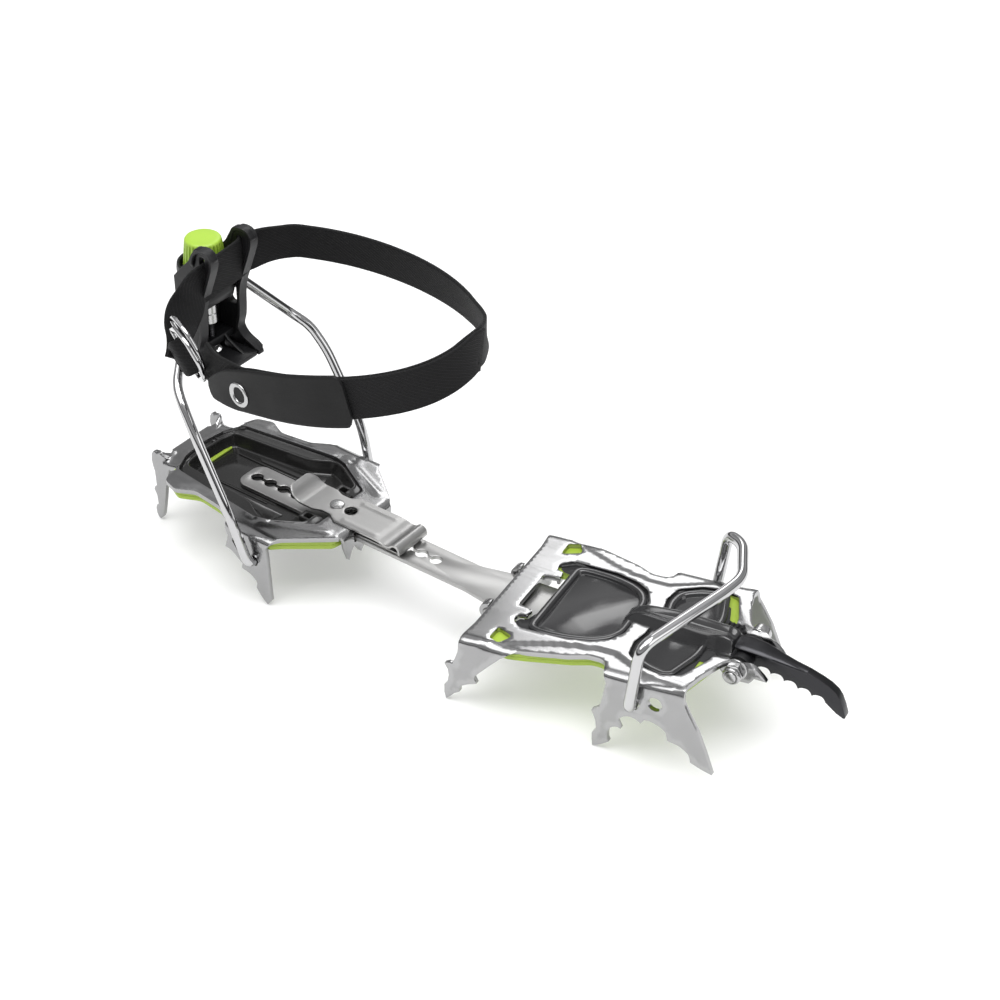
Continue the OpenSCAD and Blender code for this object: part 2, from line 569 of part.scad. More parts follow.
// Rubber patch over the strap's near end, narrow at the rings.
patch_from = -119;
patch_a = [for (a = [patch_from:4:-59]) a];
function patch_w(a) = a < -104 ? 19 - 10 * pow((-104 - a) / 15, 1.5)
  : 19 + 5.6 * (1 - pow((-60 - a) / 44, 2)) - (a > -61 ? 5 : 0);
patch_out = 2 * webbing_t + 0.7;
module strap_patch() color(black) at_heel() difference() {
  strip([for (a = patch_a) on_loop(a, patch_out, loop_z(a))], [for (a = patch_a) up],
    [for (a = patch_a) patch_w(a)], 1.8);
  grommet_site() cylinder(h = 8, r = 4.25, center = true);
}
grommet_a = -104;
module grommet_site() translate(on_loop(grommet_a, patch_out, loop_z(grommet_a) - 1.5))
  rotate([0, 0, atan2(sin(grommet_a) / loop_b, cos(grommet_a) / loop_a)]) rotate([0, 90, 0])
    children();
module patch_grommet() color(chrome) at_heel() grommet_site() difference() {
  union() {
    cylinder(h = 1.9, r = 4.1, center = true);
    translate([0, 0, 0.94]) cylinder(h = 0.6, r = 5.6);
  }
  cylinder(h = 8, r = 3.3, center = true);
}

// D rings: the bar's middle, the bar's direction and the way the bows point.
ring_c = [-133.4, -32.4, 81.2];
ring_d = unit([0.576, 0.031, -0.817]);
ring_e = unit(cross(cross(ring_d, [0.736, -0.454, 0.502]), ring_d));
ring_n = cross(ring_d, ring_e);
ring_bar = 2.2;
ring_t = 2;

// Webbing from the lever's near slot, hanging outside it and laid over the rings' bars.
function by_ring(d, e, n) = ring_c + d * ring_d + e * ring_e + n * ring_n;
module strap_loop() color(black) at_heel() {
  c = [[-138, -16.6, 101], [-141, -19.6, 100.2], [-144.2, -25, 96.2], [-145.4, -30, 89.6],
    [-143.4, -32.8, 83], by_ring(-2.5, -7, 5.4), by_ring(0.5, -4, 5.4), by_ring(4, -1, 5.4),
    by_ring(4, 3, 5.4)];
  v = [[0, 0, 1], [-0.08, 0, 1], [-0.25, 0, 0.96], [-0.42, 0, 0.9],
    for (i = [0:4]) -ring_d];
  strip(c, v, webbing_w, webbing_t);
}

module d_ring() linear_extrude(ring_t) difference() {
  polygon(rounded([[-13.5, 0, 2.5], [13.5, 0, 2.5], [13, 11, 5], [6, 17.8, 7], [-6, 17.8, 7], [-13, 11, 5]]));
  polygon(rounded([[-13.5 + ring_bar, ring_bar, 1], [13.5 - ring_bar, ring_bar, 1], [10.7, 10.2, 4],
    [5, 15.4, 5], [-5, 15.4, 5], [-10.7, 10.2, 4]]));
}
module ring_at(along, out) at_heel() let (c = by_ring(along, -ring_bar / 2, out)) multmatrix([
  [ring_d[0], ring_e[0], ring_n[0], c[0]], [ring_d[1], ring_e[1], ring_n[1], c[1]],
  [ring_d[2], ring_e[2], ring_n[2], c[2]], [0, 0, 0, 1]]) d_ring();
module ring_outer() color(chrome) ring_at(0, -1);
module ring_inner() color(chrome) ring_at(2.5, 1.6);

front_frame();
front_abs_base();
front_abs_cover();
front_point();
point_bolt();
point_nut();
point_washers();
point_spacers();
toe_bail();
center_bar();
heel_frame();
heel_abs_base();
heel_abs_tray();
clip_leaf();
spring_clip();
clip_pin();
leaf_rivets();
heel_bail();
bail_carriage();
carriage_sleeve();
heel_lever();
adjust_screw();
screw_nut();
adjust_knob();
ankle_strap();
strap_tail();
strap_loop();
strap_patch();
patch_grommet();
ring_outer();
ring_inner();
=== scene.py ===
import json
import math

import bmesh
import bpy
from mathutils import Matrix, Vector
from mathutils.geometry import delaunay_2d_cdt

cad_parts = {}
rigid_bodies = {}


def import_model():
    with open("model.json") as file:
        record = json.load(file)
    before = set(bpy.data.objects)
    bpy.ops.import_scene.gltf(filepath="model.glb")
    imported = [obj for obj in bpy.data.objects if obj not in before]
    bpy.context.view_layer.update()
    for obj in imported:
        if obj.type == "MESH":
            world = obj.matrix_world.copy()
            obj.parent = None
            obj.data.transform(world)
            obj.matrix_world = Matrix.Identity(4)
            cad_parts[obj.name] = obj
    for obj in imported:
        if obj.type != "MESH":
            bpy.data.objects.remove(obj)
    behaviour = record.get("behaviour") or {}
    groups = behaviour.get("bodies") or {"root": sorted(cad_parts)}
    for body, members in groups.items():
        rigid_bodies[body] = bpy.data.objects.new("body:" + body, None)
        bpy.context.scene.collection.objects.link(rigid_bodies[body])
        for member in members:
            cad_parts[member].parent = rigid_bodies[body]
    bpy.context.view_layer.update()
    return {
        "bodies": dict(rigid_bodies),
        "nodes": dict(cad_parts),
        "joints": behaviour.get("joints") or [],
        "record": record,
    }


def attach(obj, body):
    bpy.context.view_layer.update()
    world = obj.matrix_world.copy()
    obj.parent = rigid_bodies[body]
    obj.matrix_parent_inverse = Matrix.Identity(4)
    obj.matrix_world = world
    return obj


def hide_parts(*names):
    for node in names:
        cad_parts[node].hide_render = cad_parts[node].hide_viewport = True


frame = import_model()
NODES = frame["nodes"]

# ---- places: millimetres in, metres out ------------------------------------------
HEEL = Matrix.Translation((2.26, -5.85, 36.1))
# the front section is turned sideways at the bar's T end and pitched up at its hooks
TURN_X, TURN_ANGLE = 5, math.radians(8.5)
TURN = HEEL @ Matrix.Translation((TURN_X, 0, -1.6)) @ Matrix.Rotation(TURN_ANGLE, 4, "Z")
FRONT = TURN @ Matrix.Rotation(math.radians(-5), 4, "Y")
BAR_Y = -0.4


def world(place, p):
    return (place @ Vector(p)) * 0.001


# ---- materials -------------------------------------------------------------------
class Nodes:
    """Short names for building a material's node tree."""

    def __init__(self, name):
        self.mat = bpy.data.materials.new(name)
        self.mat.use_nodes = True
        self.tree = self.mat.node_tree
        self.bsdf = self.tree.nodes["Principled BSDF"]
        self.pos = self.new("ShaderNodeTexCoord").outputs["Object"]

    def new(self, kind, **props):
        n = self.tree.nodes.new(kind)
        for k, v in props.items():
            setattr(n, k, v)
        return n

    def put(self, node, **values):
        """Set or link inputs, by name with underscores for spaces, or by number as i0, i1 and so on."""
        for key, value in values.items():
            numbered = key[0] == "i" and key[1:].isdigit()
            socket = node.inputs[int(key[1:]) if numbered else key.replace("_", " ")]
            if isinstance(value, bpy.types.NodeSocket):
                self.tree.links.new(value, socket)
            else:
                socket.default_value = value
        return node

    def noise(self, scale, detail=3.0, rough=0.55, stretch=None):
        where = self.pos
        if stretch:
            mapping = self.put(self.new("ShaderNodeMapping"), Vector=self.pos, Scale=stretch)
            where = mapping.outputs["Vector"]
        n = self.new("ShaderNodeTexNoise")
        self.put(n, Vector=where, Scale=scale, Detail=detail, Roughness=rough)
        return n.outputs["Fac"]

    def ramp(self, fac, stops):
        r = self.new("ShaderNodeValToRGB")
        el = r.color_ramp.elements
        while len(el) < len(stops):
            el.new(0.5)
        for e, (at, c) in zip(el, stops):
            e.position = at
            e.color = (*c, 1) if hasattr(c, "__len__") else (c, c, c, 1)
        self.put(r, Fac=fac)
        return r.outputs["Color"]

    def math(self, op, a, b=0.0):
        m = self.new("ShaderNodeMath", operation=op)
        self.put(m, i0=a, i1=b)
        return m.outputs[0]

    def times(self, a, b):
        return self.math("MULTIPLY", a, b)

    def plus(self, a, b):
        return self.math("ADD", a, b)

    def mix(self, fac, a, b):
        m = self.new("ShaderNodeMix", data_type="RGBA")
        self.put(m, Factor=fac)
        for s, v in ((m.inputs[6], a), (m.inputs[7], b)):
            if isinstance(v, bpy.types.NodeSocket):
                self.tree.links.new(v, s)
            else:
                s.default_value = (*v, 1)
        return m.outputs[2]

    def bump(self, height, strength, distance, under=None):
        b = self.new("ShaderNodeBump")
        self.put(b, Height=height, Strength=strength, Distance=distance)
        if under:
            self.put(b, Normal=under)
        return b.outputs["Normal"]

    def edges(self, low=0.5, high=0.62):
        """1 on convex edges, 0 on flats."""
        return self.ramp(self.new("ShaderNodeNewGeometry").outputs["Pointiness"], [(low, 0.0), (high, 1.0)])

    def done(self, **values):
        self.put(self.bsdf, **values)
        return self.mat


def polished_steel(name, tone, rough=(0.10, 0.24), grain=(1, 1, 1), wear=0.5):
    m = Nodes(name)
    cloud = m.noise(38, 4, 0.6)
    fine = m.noise(900, 2, 0.6, stretch=grain)
    scratch = m.noise(260, 2, 0.8, stretch=(0.06, 1.0, 1.0))
    base = m.ramp(cloud, [(0.3, [c * 0.90 for c in tone]), (0.7, tone)])
    base = m.mix(m.times(m.edges(), wear), base, [min(1, c * 1.25) for c in tone])
    marks = m.times(m.ramp(scratch, [(0.55, 0.0), (0.72, 1.0)]), 0.06)
    r = m.plus(m.ramp(cloud, [(0.25, rough[0]), (0.75, rough[1])]), marks)
    n = m.bump(fine, 0.10, 0.00006)
    n = m.bump(m.ramp(scratch, [(0.6, 0.0), (0.75, 1.0)]), 0.08, 0.00005, n)
    return m.done(Base_Color=base, Metallic=1.0, Roughness=r, Normal=n)


def moulded(name, tone, rough=0.38, texture=0.25, lift=1.5, coat=0.0, wavy=0.0, specular=0.5):
    m = Nodes(name)
    grain = m.noise(1500, 3, 0.6)
    cloud = m.noise(55, 3, 0.5)
    base = m.ramp(cloud, [(0.3, [c * 0.85 for c in tone]), (0.75, tone)])
    base = m.mix(m.times(m.edges(0.51, 0.63), 0.45), base, [min(1, c * lift + 0.015) for c in tone])
    r = m.ramp(cloud, [(0.3, max(0.05, rough - 0.06)), (0.75, rough + 0.05)])
    n = m.bump(grain, texture, 0.00012)
    if wavy:
        n = m.bump(m.noise(34, 1, 0.4), wavy, 0.004, n)
    return m.done(Base_Color=base, Roughness=r, Normal=n, Coat_Weight=coat, Coat_Roughness=0.08,
        Specular_IOR_Level=specular)


def woven(name, tone):
    """Flat webbing: ribs across, two warp directions, from the strap's own UV map in millimetres."""
    m = Nodes(name)
    uv = m.new("ShaderNodeUVMap", uv_map="mm").outputs["UV"]
    x = m.new("ShaderNodeSeparateXYZ")
    m.put(x, i0=uv)
    u, v = x.outputs[0], x.outputs[1]
    two_pi = 2 * math.pi
    a = m.math("SINE", m.times(u, two_pi / 1.25))
    b = m.math("SINE", m.times(v, two_pi / 0.95))
    d = m.math("SINE", m.plus(m.times(u, two_pi / 2.5), m.times(v, two_pi / 1.9)))
    weave = m.plus(m.times(m.times(a, b), 0.5), m.times(d, 0.25))
    height = m.times(m.plus(weave, 1.0), 0.5)
    # flatter selvedge along both edges
    edge = m.math("GREATER_THAN", m.math("ABSOLUTE", v), 8.4)
    fuzz = m.noise(2600, 2, 0.7)
    # painted shade and highlight: the weave's hollows are darker and its crests lighter in colour, varied
    # at random by fuzz
    painted_weave_shade = m.times(height, m.plus(m.times(fuzz, 0.7), 0.6))
    base = m.ramp(painted_weave_shade, [(0.15, [c * 0.35 for c in tone]), (0.75, [c * 1.5 for c in tone])])
    base = m.mix(m.times(edge, 0.5), base, [c * 0.7 for c in tone])
    n = m.bump(height, 0.9, 0.00028)
    n = m.bump(fuzz, 0.25, 0.0001, n)
    return m.done(Base_Color=base, Roughness=0.72, Normal=n, Sheen_Weight=0.04, Sheen_Roughness=0.45,
        Specular_IOR_Level=0.22)


def leathery(name, tone):
    m = Nodes(name)
    cell = m.new("ShaderNodeTexVoronoi", feature="SMOOTH_F1")
    m.put(cell, Vector=m.pos, Scale=1700)
    grain = m.noise(1200, 4, 0.65)
    cloud = m.noise(60, 3, 0.5)
    base = m.ramp(cloud, [(0.3, [c * 0.8 for c in tone]), (0.7, tone)])
    base = m.mix(m.times(m.edges(0.51, 0.62), 0.4), base, [c * 2.4 for c in tone])
    n = m.bump(cell.outputs["Distance"], 0.35, 0.00012)
    n = m.bump(grain, 0.35, 0.00010, n)
    return m.done(Base_Color=base, Roughness=m.ramp(cloud, [(0.3, 0.5), (0.7, 0.62)]), Normal=n,
        Specular_IOR_Level=0.25)


STEEL = polished_steel("stainless_polished", (0.35, 0.35, 0.352), (0.14, 0.25))
SATIN = polished_steel("steel_satin", (0.41, 0.408, 0.403), (0.30, 0.40), (0.04, 1, 1))
WIRE = polished_steel("wire_bright", (0.53, 0.53, 0.535), (0.05, 0.11))
FASTENER = polished_steel("fastener_bright", (0.48, 0.48, 0.48), (0.16, 0.28))
DARK_STEEL = polished_steel("steel_dark", (0.045, 0.045, 0.048), (0.26, 0.38), (1, 1, 0.1), 1.0)
GREEN = moulded("abs_green", (0.36, 0.50, 0.05), 0.42, 0.2, 1.25)
SMOKE = moulded("abs_smoke", (0.020, 0.020, 0.021), 0.17, 0.05, 1.5, 0.4, 0.5)
TRAY = moulded("abs_black_gloss", (0.014, 0.0138, 0.0135), 0.20, 0.08, 1.8, 0.25)
BLACK = moulded("moulded_black", (0.008, 0.008, 0.0088), 0.42, 0.3, 2.2, 0.0, 0.0, 0.3)
LIME = moulded("moulded_lime", (0.34, 0.53, 0.05), 0.40, 0.15, 1.2)
WEBBING = woven("webbing_black", (0.0065, 0.0065, 0.007))
PATCH = leathery("patch_rubber", (0.0062, 0.0062, 0.0065))


# ---- outlines: lists of flat points ------------------------------------------------
def steps(a, b, n):
    return [a + (b - a) * k / n for k in range(n + 1)]


def arc(c, r, a0, a1, n=8):
    """n steps along an arc about c, between angles in degrees."""
    angles = [math.radians(a) for a in steps(a0, a1, n)]
    return [(c[0] + r * math.cos(a), c[1] + r * math.sin(a)) for a in angles]


def round_hole(x, y, r):
    return arc((x, y), r, 0, 345, 23)


def circle(r, n=64, x=0.0, y=0.0):
    angles = [2 * math.pi * k / n for k in range(n)]
    return [(x + r * math.cos(a), y + r * math.sin(a)) for a in angles]


def rounded(pts, n=6):
    """A polygon's corners [x, y, radius], rounded as far as its sides allow."""
    out = []
    for i, p in enumerate(pts):
        q = Vector(p[:2])
        if len(p) < 3 or p[2] <= 0:
            out.append(tuple(q))
            continue
        a = Vector(pts[i - 1][:2]) - q
        b = Vector(pts[(i + 1) % len(pts)][:2]) - q
        half = a.angle(b) / 2
        if half > math.radians(88):
            out.append(tuple(q))
            continue
        d = min(p[2] / math.tan(half), 0.45 * a.length, 0.45 * b.length)
        c = q + (a.normalized() + b.normalized()).normalized() * d / math.cos(half)
        s, e = q + a.normalized() * d - c, q + b.normalized() * d - c
        turn = (math.atan2(e.y, e.x) - math.atan2(s.y, s.x) + 3 * math.pi) % (2 * math.pi) - math.pi
        for k in range(n + 1):
            t = math.atan2(s.y, s.x) + turn * k / n
            out.append((c.x + s.length * math.cos(t), c.y + s.length * math.sin(t)))
    return out


def box(x0, x1, y0, y1, r=0.0):
    """A rectangle with its corners rounded by r."""
    return rounded([(x0, y0, r), (x1, y0, r), (x1, y1, r), (x0, y1, r)])


def eased(corners, n=6):
    """Corners [x, y, cut] rounded with a constant number of points each; no cut keeps the corner."""
    out = []
    for i, p in enumerate(corners):
        q = Vector(p[:2])
        if len(p) < 3:
            out.append(q)
            continue
        a, b = Vector(corners[i - 1][:2]) - q, Vector(corners[(i + 1) % len(corners)][:2]) - q
        d = min(p[2], 0.48 * a.length, 0.48 * b.length)
        s, e = q + a.normalized() * d, q + b.normalized() * d
        out += [s * (1 - t) ** 2 + 2 * q * t * (1 - t) + e * t * t for t in [k / n for k in range(n + 1)]]
    return out


def inset(corners, d):
    """A closed polygon of [x, y, cut] moved in by d along its corners' bisectors."""
    area2 = sum(a[0] * b[1] - b[0] * a[1] for a, b in zip(corners, corners[1:] + corners[:1]))
    turn = 1 if area2 > 0 else -1
    out = []
    for i, p in enumerate(corners):
        q = Vector(p[:2])
        a = (q - Vector(corners[i - 1][:2])).normalized()
        b = (Vector(corners[(i + 1) % len(corners)][:2]) - q).normalized()
        na, nb = Vector((-a.y, a.x)) * turn, Vector((-b.y, b.x)) * turn
        m = (na + nb).normalized()
        q = q + m * min(1.6 * d, d / max(0.3, m.dot(na)))
        out.append((q.x, q.y, *p[2:]))
    return out


def flip(pts):
    return [(p[0], -p[1], *p[2:]) for p in reversed(pts)]


def both(half):
    return list(half) + [p for p in flip(half) if p[1] < -0.001]


def spaced(loop, step):
    """A closed loop with its long sides cut to step or less."""
    out = []
    for i, p in enumerate(loop):
        a, b = Vector(p), Vector(loop[(i + 1) % len(loop)])
        n = max(1, math.ceil((b - a).length / step))
        out += [tuple(a.lerp(b, k / n)) for k in range(n)]
    return out


def inside(x, y, loop):
    hit = False
    j = len(loop) - 1
    for i in range(len(loop)):
        xi, yi = loop[i]
        xj, yj = loop[j]
        if (yi > y) != (yj > y) and x < (xj - xi) * (y - yi) / (yj - yi) + xi:
            hit = not hit
        j = i
    return hit


def on_plan(x, y, loops):
    return inside(x, y, loops[0]) and not any(inside(x, y, hole) for hole in loops[1:])


def lattice(loops, step):
    """Points of a triangular lattice inside the outline, kept off its edges and holes."""
    cell = {}
    for p in [p for loop in loops for p in loop]:
        cell.setdefault((int(p[0] // step), int(p[1] // step)), []).append(p)
    around = [(i, j) for i in (-1, 0, 1) for j in (-1, 0, 1)]
    xs, ys = zip(*loops[0])
    grid = []
    row, y = 0, min(ys)
    while y < max(ys):
        x = min(xs) + (step / 2 if row % 2 else 0)
        while x < max(xs):
            i0, j0 = int(x // step), int(y // step)
            beside = [q for i, j in around for q in cell.get((i0 + i, j0 + j), ())]
            crowded = any((q[0] - x) ** 2 + (q[1] - y) ** 2 < (0.6 * step) ** 2 for q in beside)
            if not crowded and on_plan(x, y, loops):
                grid.append((x, y))
            x += step
        y += step * 0.866
        row += 1
    return grid


def filled(loops, extra=()):
    """Triangles over an outline with holes: (points, the triangles on the plan)."""
    pts, edges = [], []
    for loop in loops:
        k = len(pts)
        pts += loop
        edges += [(k + i, k + (i + 1) % len(loop)) for i in range(len(loop))]
    found = delaunay_2d_cdt([Vector(p) for p in [*pts, *extra]], edges, [], 0, 1e-5)
    points, triangles = found[0], found[2]
    kept = []
    for f in triangles:
        x, y = (sum(points[i][axis] for i in f) / 3 for axis in (0, 1))
        if on_plan(x, y, loops):
            kept.append(tuple(f))
    return points, kept


# ---- meshes ------------------------------------------------------------------------
def slab_faces(kept, k):
    """Both sides and the edges of a slab whose lower points come k after its upper ones."""
    edges = {(f[i], f[(i + 1) % 3]): None for f in kept for i in range(3)}
    faces = kept + [tuple(k + i for i in reversed(f)) for f in kept]
    return faces + [(b, a, k + a, k + b) for a, b in edges if (b, a) not in edges]


def loft_faces(k, m, closed=False):
    """Faces over k rings of m points, with the ends filled unless the last ring meets the first."""
    faces = []
    for i in range(k if closed else k - 1):
        a, b = i * m, (i + 1) % k * m
        faces += [(a + j, a + (j + 1) % m, b + (j + 1) % m, b + j) for j in range(m)]
    if not closed:
        faces += [tuple(range(m - 1, -1, -1)), tuple((k - 1) * m + j for j in range(m))]
    return faces


def placed(name, mesh):
    ob = bpy.data.objects.new(name, mesh)
    bpy.context.scene.collection.objects.link(ob)
    return ob


def built(name, verts, faces, place, weld=1e-6, flatten=False, uvs=()):
    """Millimetre points in a place to an object in the row frame, with its normals outward."""
    me = bpy.data.meshes.new(name)
    me.from_pydata([world(place, v) for v in verts], [], faces)
    if uvs:
        layer = me.uv_layers.new(name="mm")
        for loop in me.loops:
            layer.data[loop.index].uv = uvs[loop.vertex_index]
    bm = bmesh.new()
    bm.from_mesh(me)
    if weld:
        bmesh.ops.remove_doubles(bm, verts=bm.verts, dist=weld)
    if flatten:
        bmesh.ops.dissolve_limit(bm, angle_limit=math.radians(1), verts=bm.verts, edges=bm.edges)
    bmesh.ops.recalc_face_normals(bm, faces=bm.faces)
    bm.to_mesh(me)
    bm.free()
    return placed(name, me)


def finished(ob, material, body, cover=(), smooth=40, bevel=0.0, segments=2):
    """Material, bevel and shading; the object rides on body and stands for the CAD nodes in cover."""
    ob.data.materials.clear()
    ob.data.materials.append(material)
    if bevel:
        b = ob.modifiers.new("bevel", "BEVEL")
        b.width, b.segments, b.use_clamp_overlap = bevel * 0.001, segments, True
        b.limit_method, b.angle_limit = "ANGLE", math.radians(40)
        deps = bpy.context.evaluated_depsgraph_get()
        bevelled = bpy.data.meshes.new_from_object(ob.evaluated_get(deps))
        ob.modifiers.clear()
        ob.data = bevelled
    for p in ob.data.polygons:
        p.use_smooth = True
    ob.data.set_sharp_from_angle(angle=math.radians(smooth))
    if body:
        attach(ob, body)
    if cover:
        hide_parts(*cover)
    return ob


def sheet(name, outline, holes, bend, t, step, place, material, body, cover, press=None, bevel=0.35):
    """Stamped sheet: an outline with holes, raised by press(x, y) and folded by bend(x, y)."""
    loops = [spaced(loop, step) for loop in [outline, *holes]]
    points, kept = filled(loops, lattice(loops, step))
    top, low = [], []
    for x, y in points:
        c, n = (Vector(v) for v in bend(x, y))
        if press:
            c = c + n * press(x, y)
        top.append(c + n * t / 2)
        low.append(c - n * t / 2)
    ob = built(name, top + low, slab_faces(kept, len(points)), place)
    return finished(ob, material, body, cover, 38, bevel)


def prism(name, outline, lo, hi, place, material, holes=(), bevel=0.4, segments=2, smooth=35):
    """An outline with holes, between two levels along the local z."""
    points, kept = filled([list(outline), *holes])
    verts = [(p[0], p[1], z) for z in (hi, lo) for p in points]
    ob = built(name, verts, slab_faces(kept, len(points)), place, 1e-7, flatten=True)
    return finished(ob, material, None, (), smooth, bevel, segments)


def skin(name, rings, place, material, body=None, cover=(), smooth=50, bevel=0.0, closed=False):
    """Equal rings of points joined into one solid; closed joins the last ring to the first."""
    verts = [tuple(p) for ring in rings for p in ring]
    ob = built(name, verts, loft_faces(len(rings), len(rings[0]), closed), place)
    return finished(ob, material, body, cover, smooth, bevel)


def lathe(name, profile, place, material, body=None, cover=(), n=64, smooth=35):
    """A profile of (radius, height) turned about the local z."""
    rings = [[(r * x, r * y, z) for x, y in circle(1, n)] for r, z in profile]
    return skin(name, rings, place, material, body, cover, smooth)


class Piece:
    """Loose parts of one place and material, joined into one named piece."""

    def __init__(self, place, material):
        self.place, self.material, self.parts = place, material, []

    def slab(self, outline, lo, hi, place=None, **how):
        self.parts.append(prism("part", outline, lo, hi, place or self.place, self.material, **how))

    def turned(self, profile, place=None, n=64):
        self.parts.append(lathe("part", profile, place or self.place, self.material, n=n))

    def skin(self, rings, **how):
        self.parts.append(skin("part", rings, self.place, self.material, **how))

    def done(self, name, body, cover=(), smooth=40):
        bm = bmesh.new()
        for part in self.parts:
            bm.from_mesh(part.data)
            bpy.data.objects.remove(part)
        me = bpy.data.meshes.new(name)
        bm.to_mesh(me)
        bm.free()
        return finished(placed(name, me), self.material, body, cover, smooth)


def shifted(place, x=0.0, y=0.0, z=0.0):
    return place @ Matrix.Translation((x, y, z))


# outline in x and z, depth along -y
SIDE = Matrix(((1, 0, 0, 0), (0, 0, -1, 0), (0, 1, 0, 0), (0, 0, 0, 1)))
ALONG_Y = Matrix.Rotation(math.radians(-90), 4, "X")


def smooth_path(pts, n=10):
    """Points [x, y, z, cut]: corners rounded over the cut length."""
    out = []
    for i, p in enumerate(pts):
        q = Vector(p[:3])
        if i in (0, len(pts) - 1) or len(p) < 4:
            out.append(q)
            continue
        a, b = Vector(pts[i - 1][:3]) - q, Vector(pts[i + 1][:3]) - q
        d = min(p[3], 0.48 * a.length, 0.48 * b.length)
        s, e = q + a.normalized() * d, q + b.normalized() * d
        out += [s * (1 - t) ** 2 + 2 * q * t * (1 - t) + e * t * t for t in [k / n for k in range(n + 1)]]
    return out


def spline(pts, n=8):
    """Catmull-Rom curve through points, of any number of coordinates."""
    out = []
    m = len(pts)
    for i in range(m - 1):
        p0, p1, p2, p3 = pts[max(i - 1, 0)], pts[i], pts[i + 1], pts[min(i + 2, m - 1)]
        for k in range(n):
            t = k / n
            point = []
            for a, b, c, d in zip(p0, p1, p2, p3):
                bend, twist = 2 * a - 5 * b + 4 * c - d, 3 * b - a - 3 * c + d
                point.append(0.5 * (2 * b + (c - a) * t + bend * t * t + twist * t ** 3))
            out.append(point)
    out.append(list(pts[-1]))
    return out


def tangents(c):
    return [(c[min(i + 1, len(c) - 1)] - c[max(i - 1, 0)]).normalized() for i in range(len(c))]


def tube(name, path, r, place, material, body, cover, sides=24, cap=0.5):
    """Round wire along a path, with domed ends."""
    c = [Vector(path[0])]
    for p in path[1:]:
        if (p - c[-1]).length > 1e-3:
            c.append(Vector(p))
    t = tangents(c)
    n = t[0].orthogonal().normalized()
    frames = []
    for p, d in zip(c, t):
        n = (n - d * n.dot(d)).normalized()
        frames.append((p, n.copy(), d.cross(n)))
    dome = [(math.cos(a), math.sin(a)) for a in (math.radians(x) for x in (78, 55, 28))]
    first = [(frames[0], t[0] * (1 - s) * cap, r - cap + cap * k) for k, s in dome]
    last = [(frames[-1], -t[-1] * (1 - s) * cap, r - cap + cap * k) for k, s in reversed(dome)]
    middle = [(frame, Vector(), r) for frame in frames[1:-1]]
    middle = [(frames[0], t[0] * cap, r)] + middle + [(frames[-1], -t[-1] * cap, r)]
    rings = []
    for (p, n, b), move, radius in first + middle + last:
        rings.append([p + move + n * x + b * y for x, y in circle(radius, sides)])
    skin(name, rings, place, material, body, cover, 50)


def ribbon(name, centres, widths, w, t, place, material, body, cover, across=10):
    """Webbing: a flat strip with rounded edges along a path, with one width w for each point."""
    c = [Vector(p) for p in centres]
    tg = tangents(c)
    shares = steps(-1, 1, across)
    ring = [(s, 1.0) for s in shares] + [(1.0, 0.35), (1.0, -0.35)]
    ring += [(s, -1.0) for s in reversed(shares)] + [(-1.0, -0.35), (-1.0, 0.35)]
    verts, uvs = [], []
    run = 0.0
    for i, p in enumerate(c):
        run += (p - c[max(i - 1, 0)]).length
        a = Vector(widths[i])
        a = (a - tg[i] * a.dot(tg[i])).normalized()
        b = tg[i].cross(a)
        for s, h in ring:
            corner = 0.45 * t / 2 if abs(s) > 0.999 and abs(h) > 0.9 else 0.0
            x = s * w[i] / 2 - math.copysign(corner, s)
            verts.append(p + a * x + b * h * t / 2)
            uvs.append((run, x))
    ob = built(name, verts, loft_faces(len(c), len(ring)), place, weld=0, uvs=uvs)
    finished(ob, material, body, cover, 60)


# ---- folded sheet frames ---------------------------------------------------------
SHEET = 2.2
MID = -SHEET / 2
# the cross bolt, in the front section's length and height
BOLT_U, BOLT_W = 121.0, -4.6


def fold(q, r):
    """Run q past the start of a bend of radius r: (how far out, how far down, angle)."""
    if q <= 0:
        return q, 0.0, 0.0
    if q < r * math.pi / 2:
        return r * math.sin(q / r), r * (1 - math.cos(q / r)), q / r
    return r, r + q - r * math.pi / 2, math.pi / 2


def unfold(w, r):
    """The run that a point w below the sheet's middle needs."""
    d = max(0.0, MID - w)
    if d >= r:
        return r * math.pi / 2 + d - r
    return r * math.acos(1 - d / r)


def near_line(x, y, line):
    """Distance from a point to a polyline."""
    best = 1e9
    p = Vector((x, y))
    for a, b in zip(line, line[1:]):
        a, b = Vector(a), Vector(b)
        d = b - a
        t = min(1, max(0, (p - a).dot(d) / d.length_squared))
        best = min(best, (p - a - d * t).length)
    return best


# bend radii of the sides and of the front flanges, and the frame's half widths
R_SIDE, R_FRONT = 3.0, 2.5
V_REAR, V_SIDE, V_FRONT = 41.7, 38.5, 9.5
# where the front flanges start, and where the rear half width gives way to the side's
FLANGE_U, WAIST_U = 111.5, 50


def front_bend(u, v):
    """Sides fold down from the flat top, and so do the flanges beside the forward point."""
    s, side = abs(v), 1 if v >= 0 else -1
    if u > FLANGE_U and s < V_FRONT + R_FRONT:
        out, down, a = fold(V_FRONT + R_FRONT - s, R_FRONT)
        return (u, side * (V_FRONT + R_FRONT - out), MID - down), (0, -side * math.sin(a), math.cos(a))
    edge = V_REAR if u < WAIST_U else V_SIDE
    out, down, a = fold(s - (edge - R_SIDE), R_SIDE)
    return (u, side * (edge - R_SIDE + out), MID - down), (0, side * math.sin(a), math.cos(a))


def flap(points, edge):
    return [(u, edge - R_SIDE + unfold(w, R_SIDE)) for u, w in points]


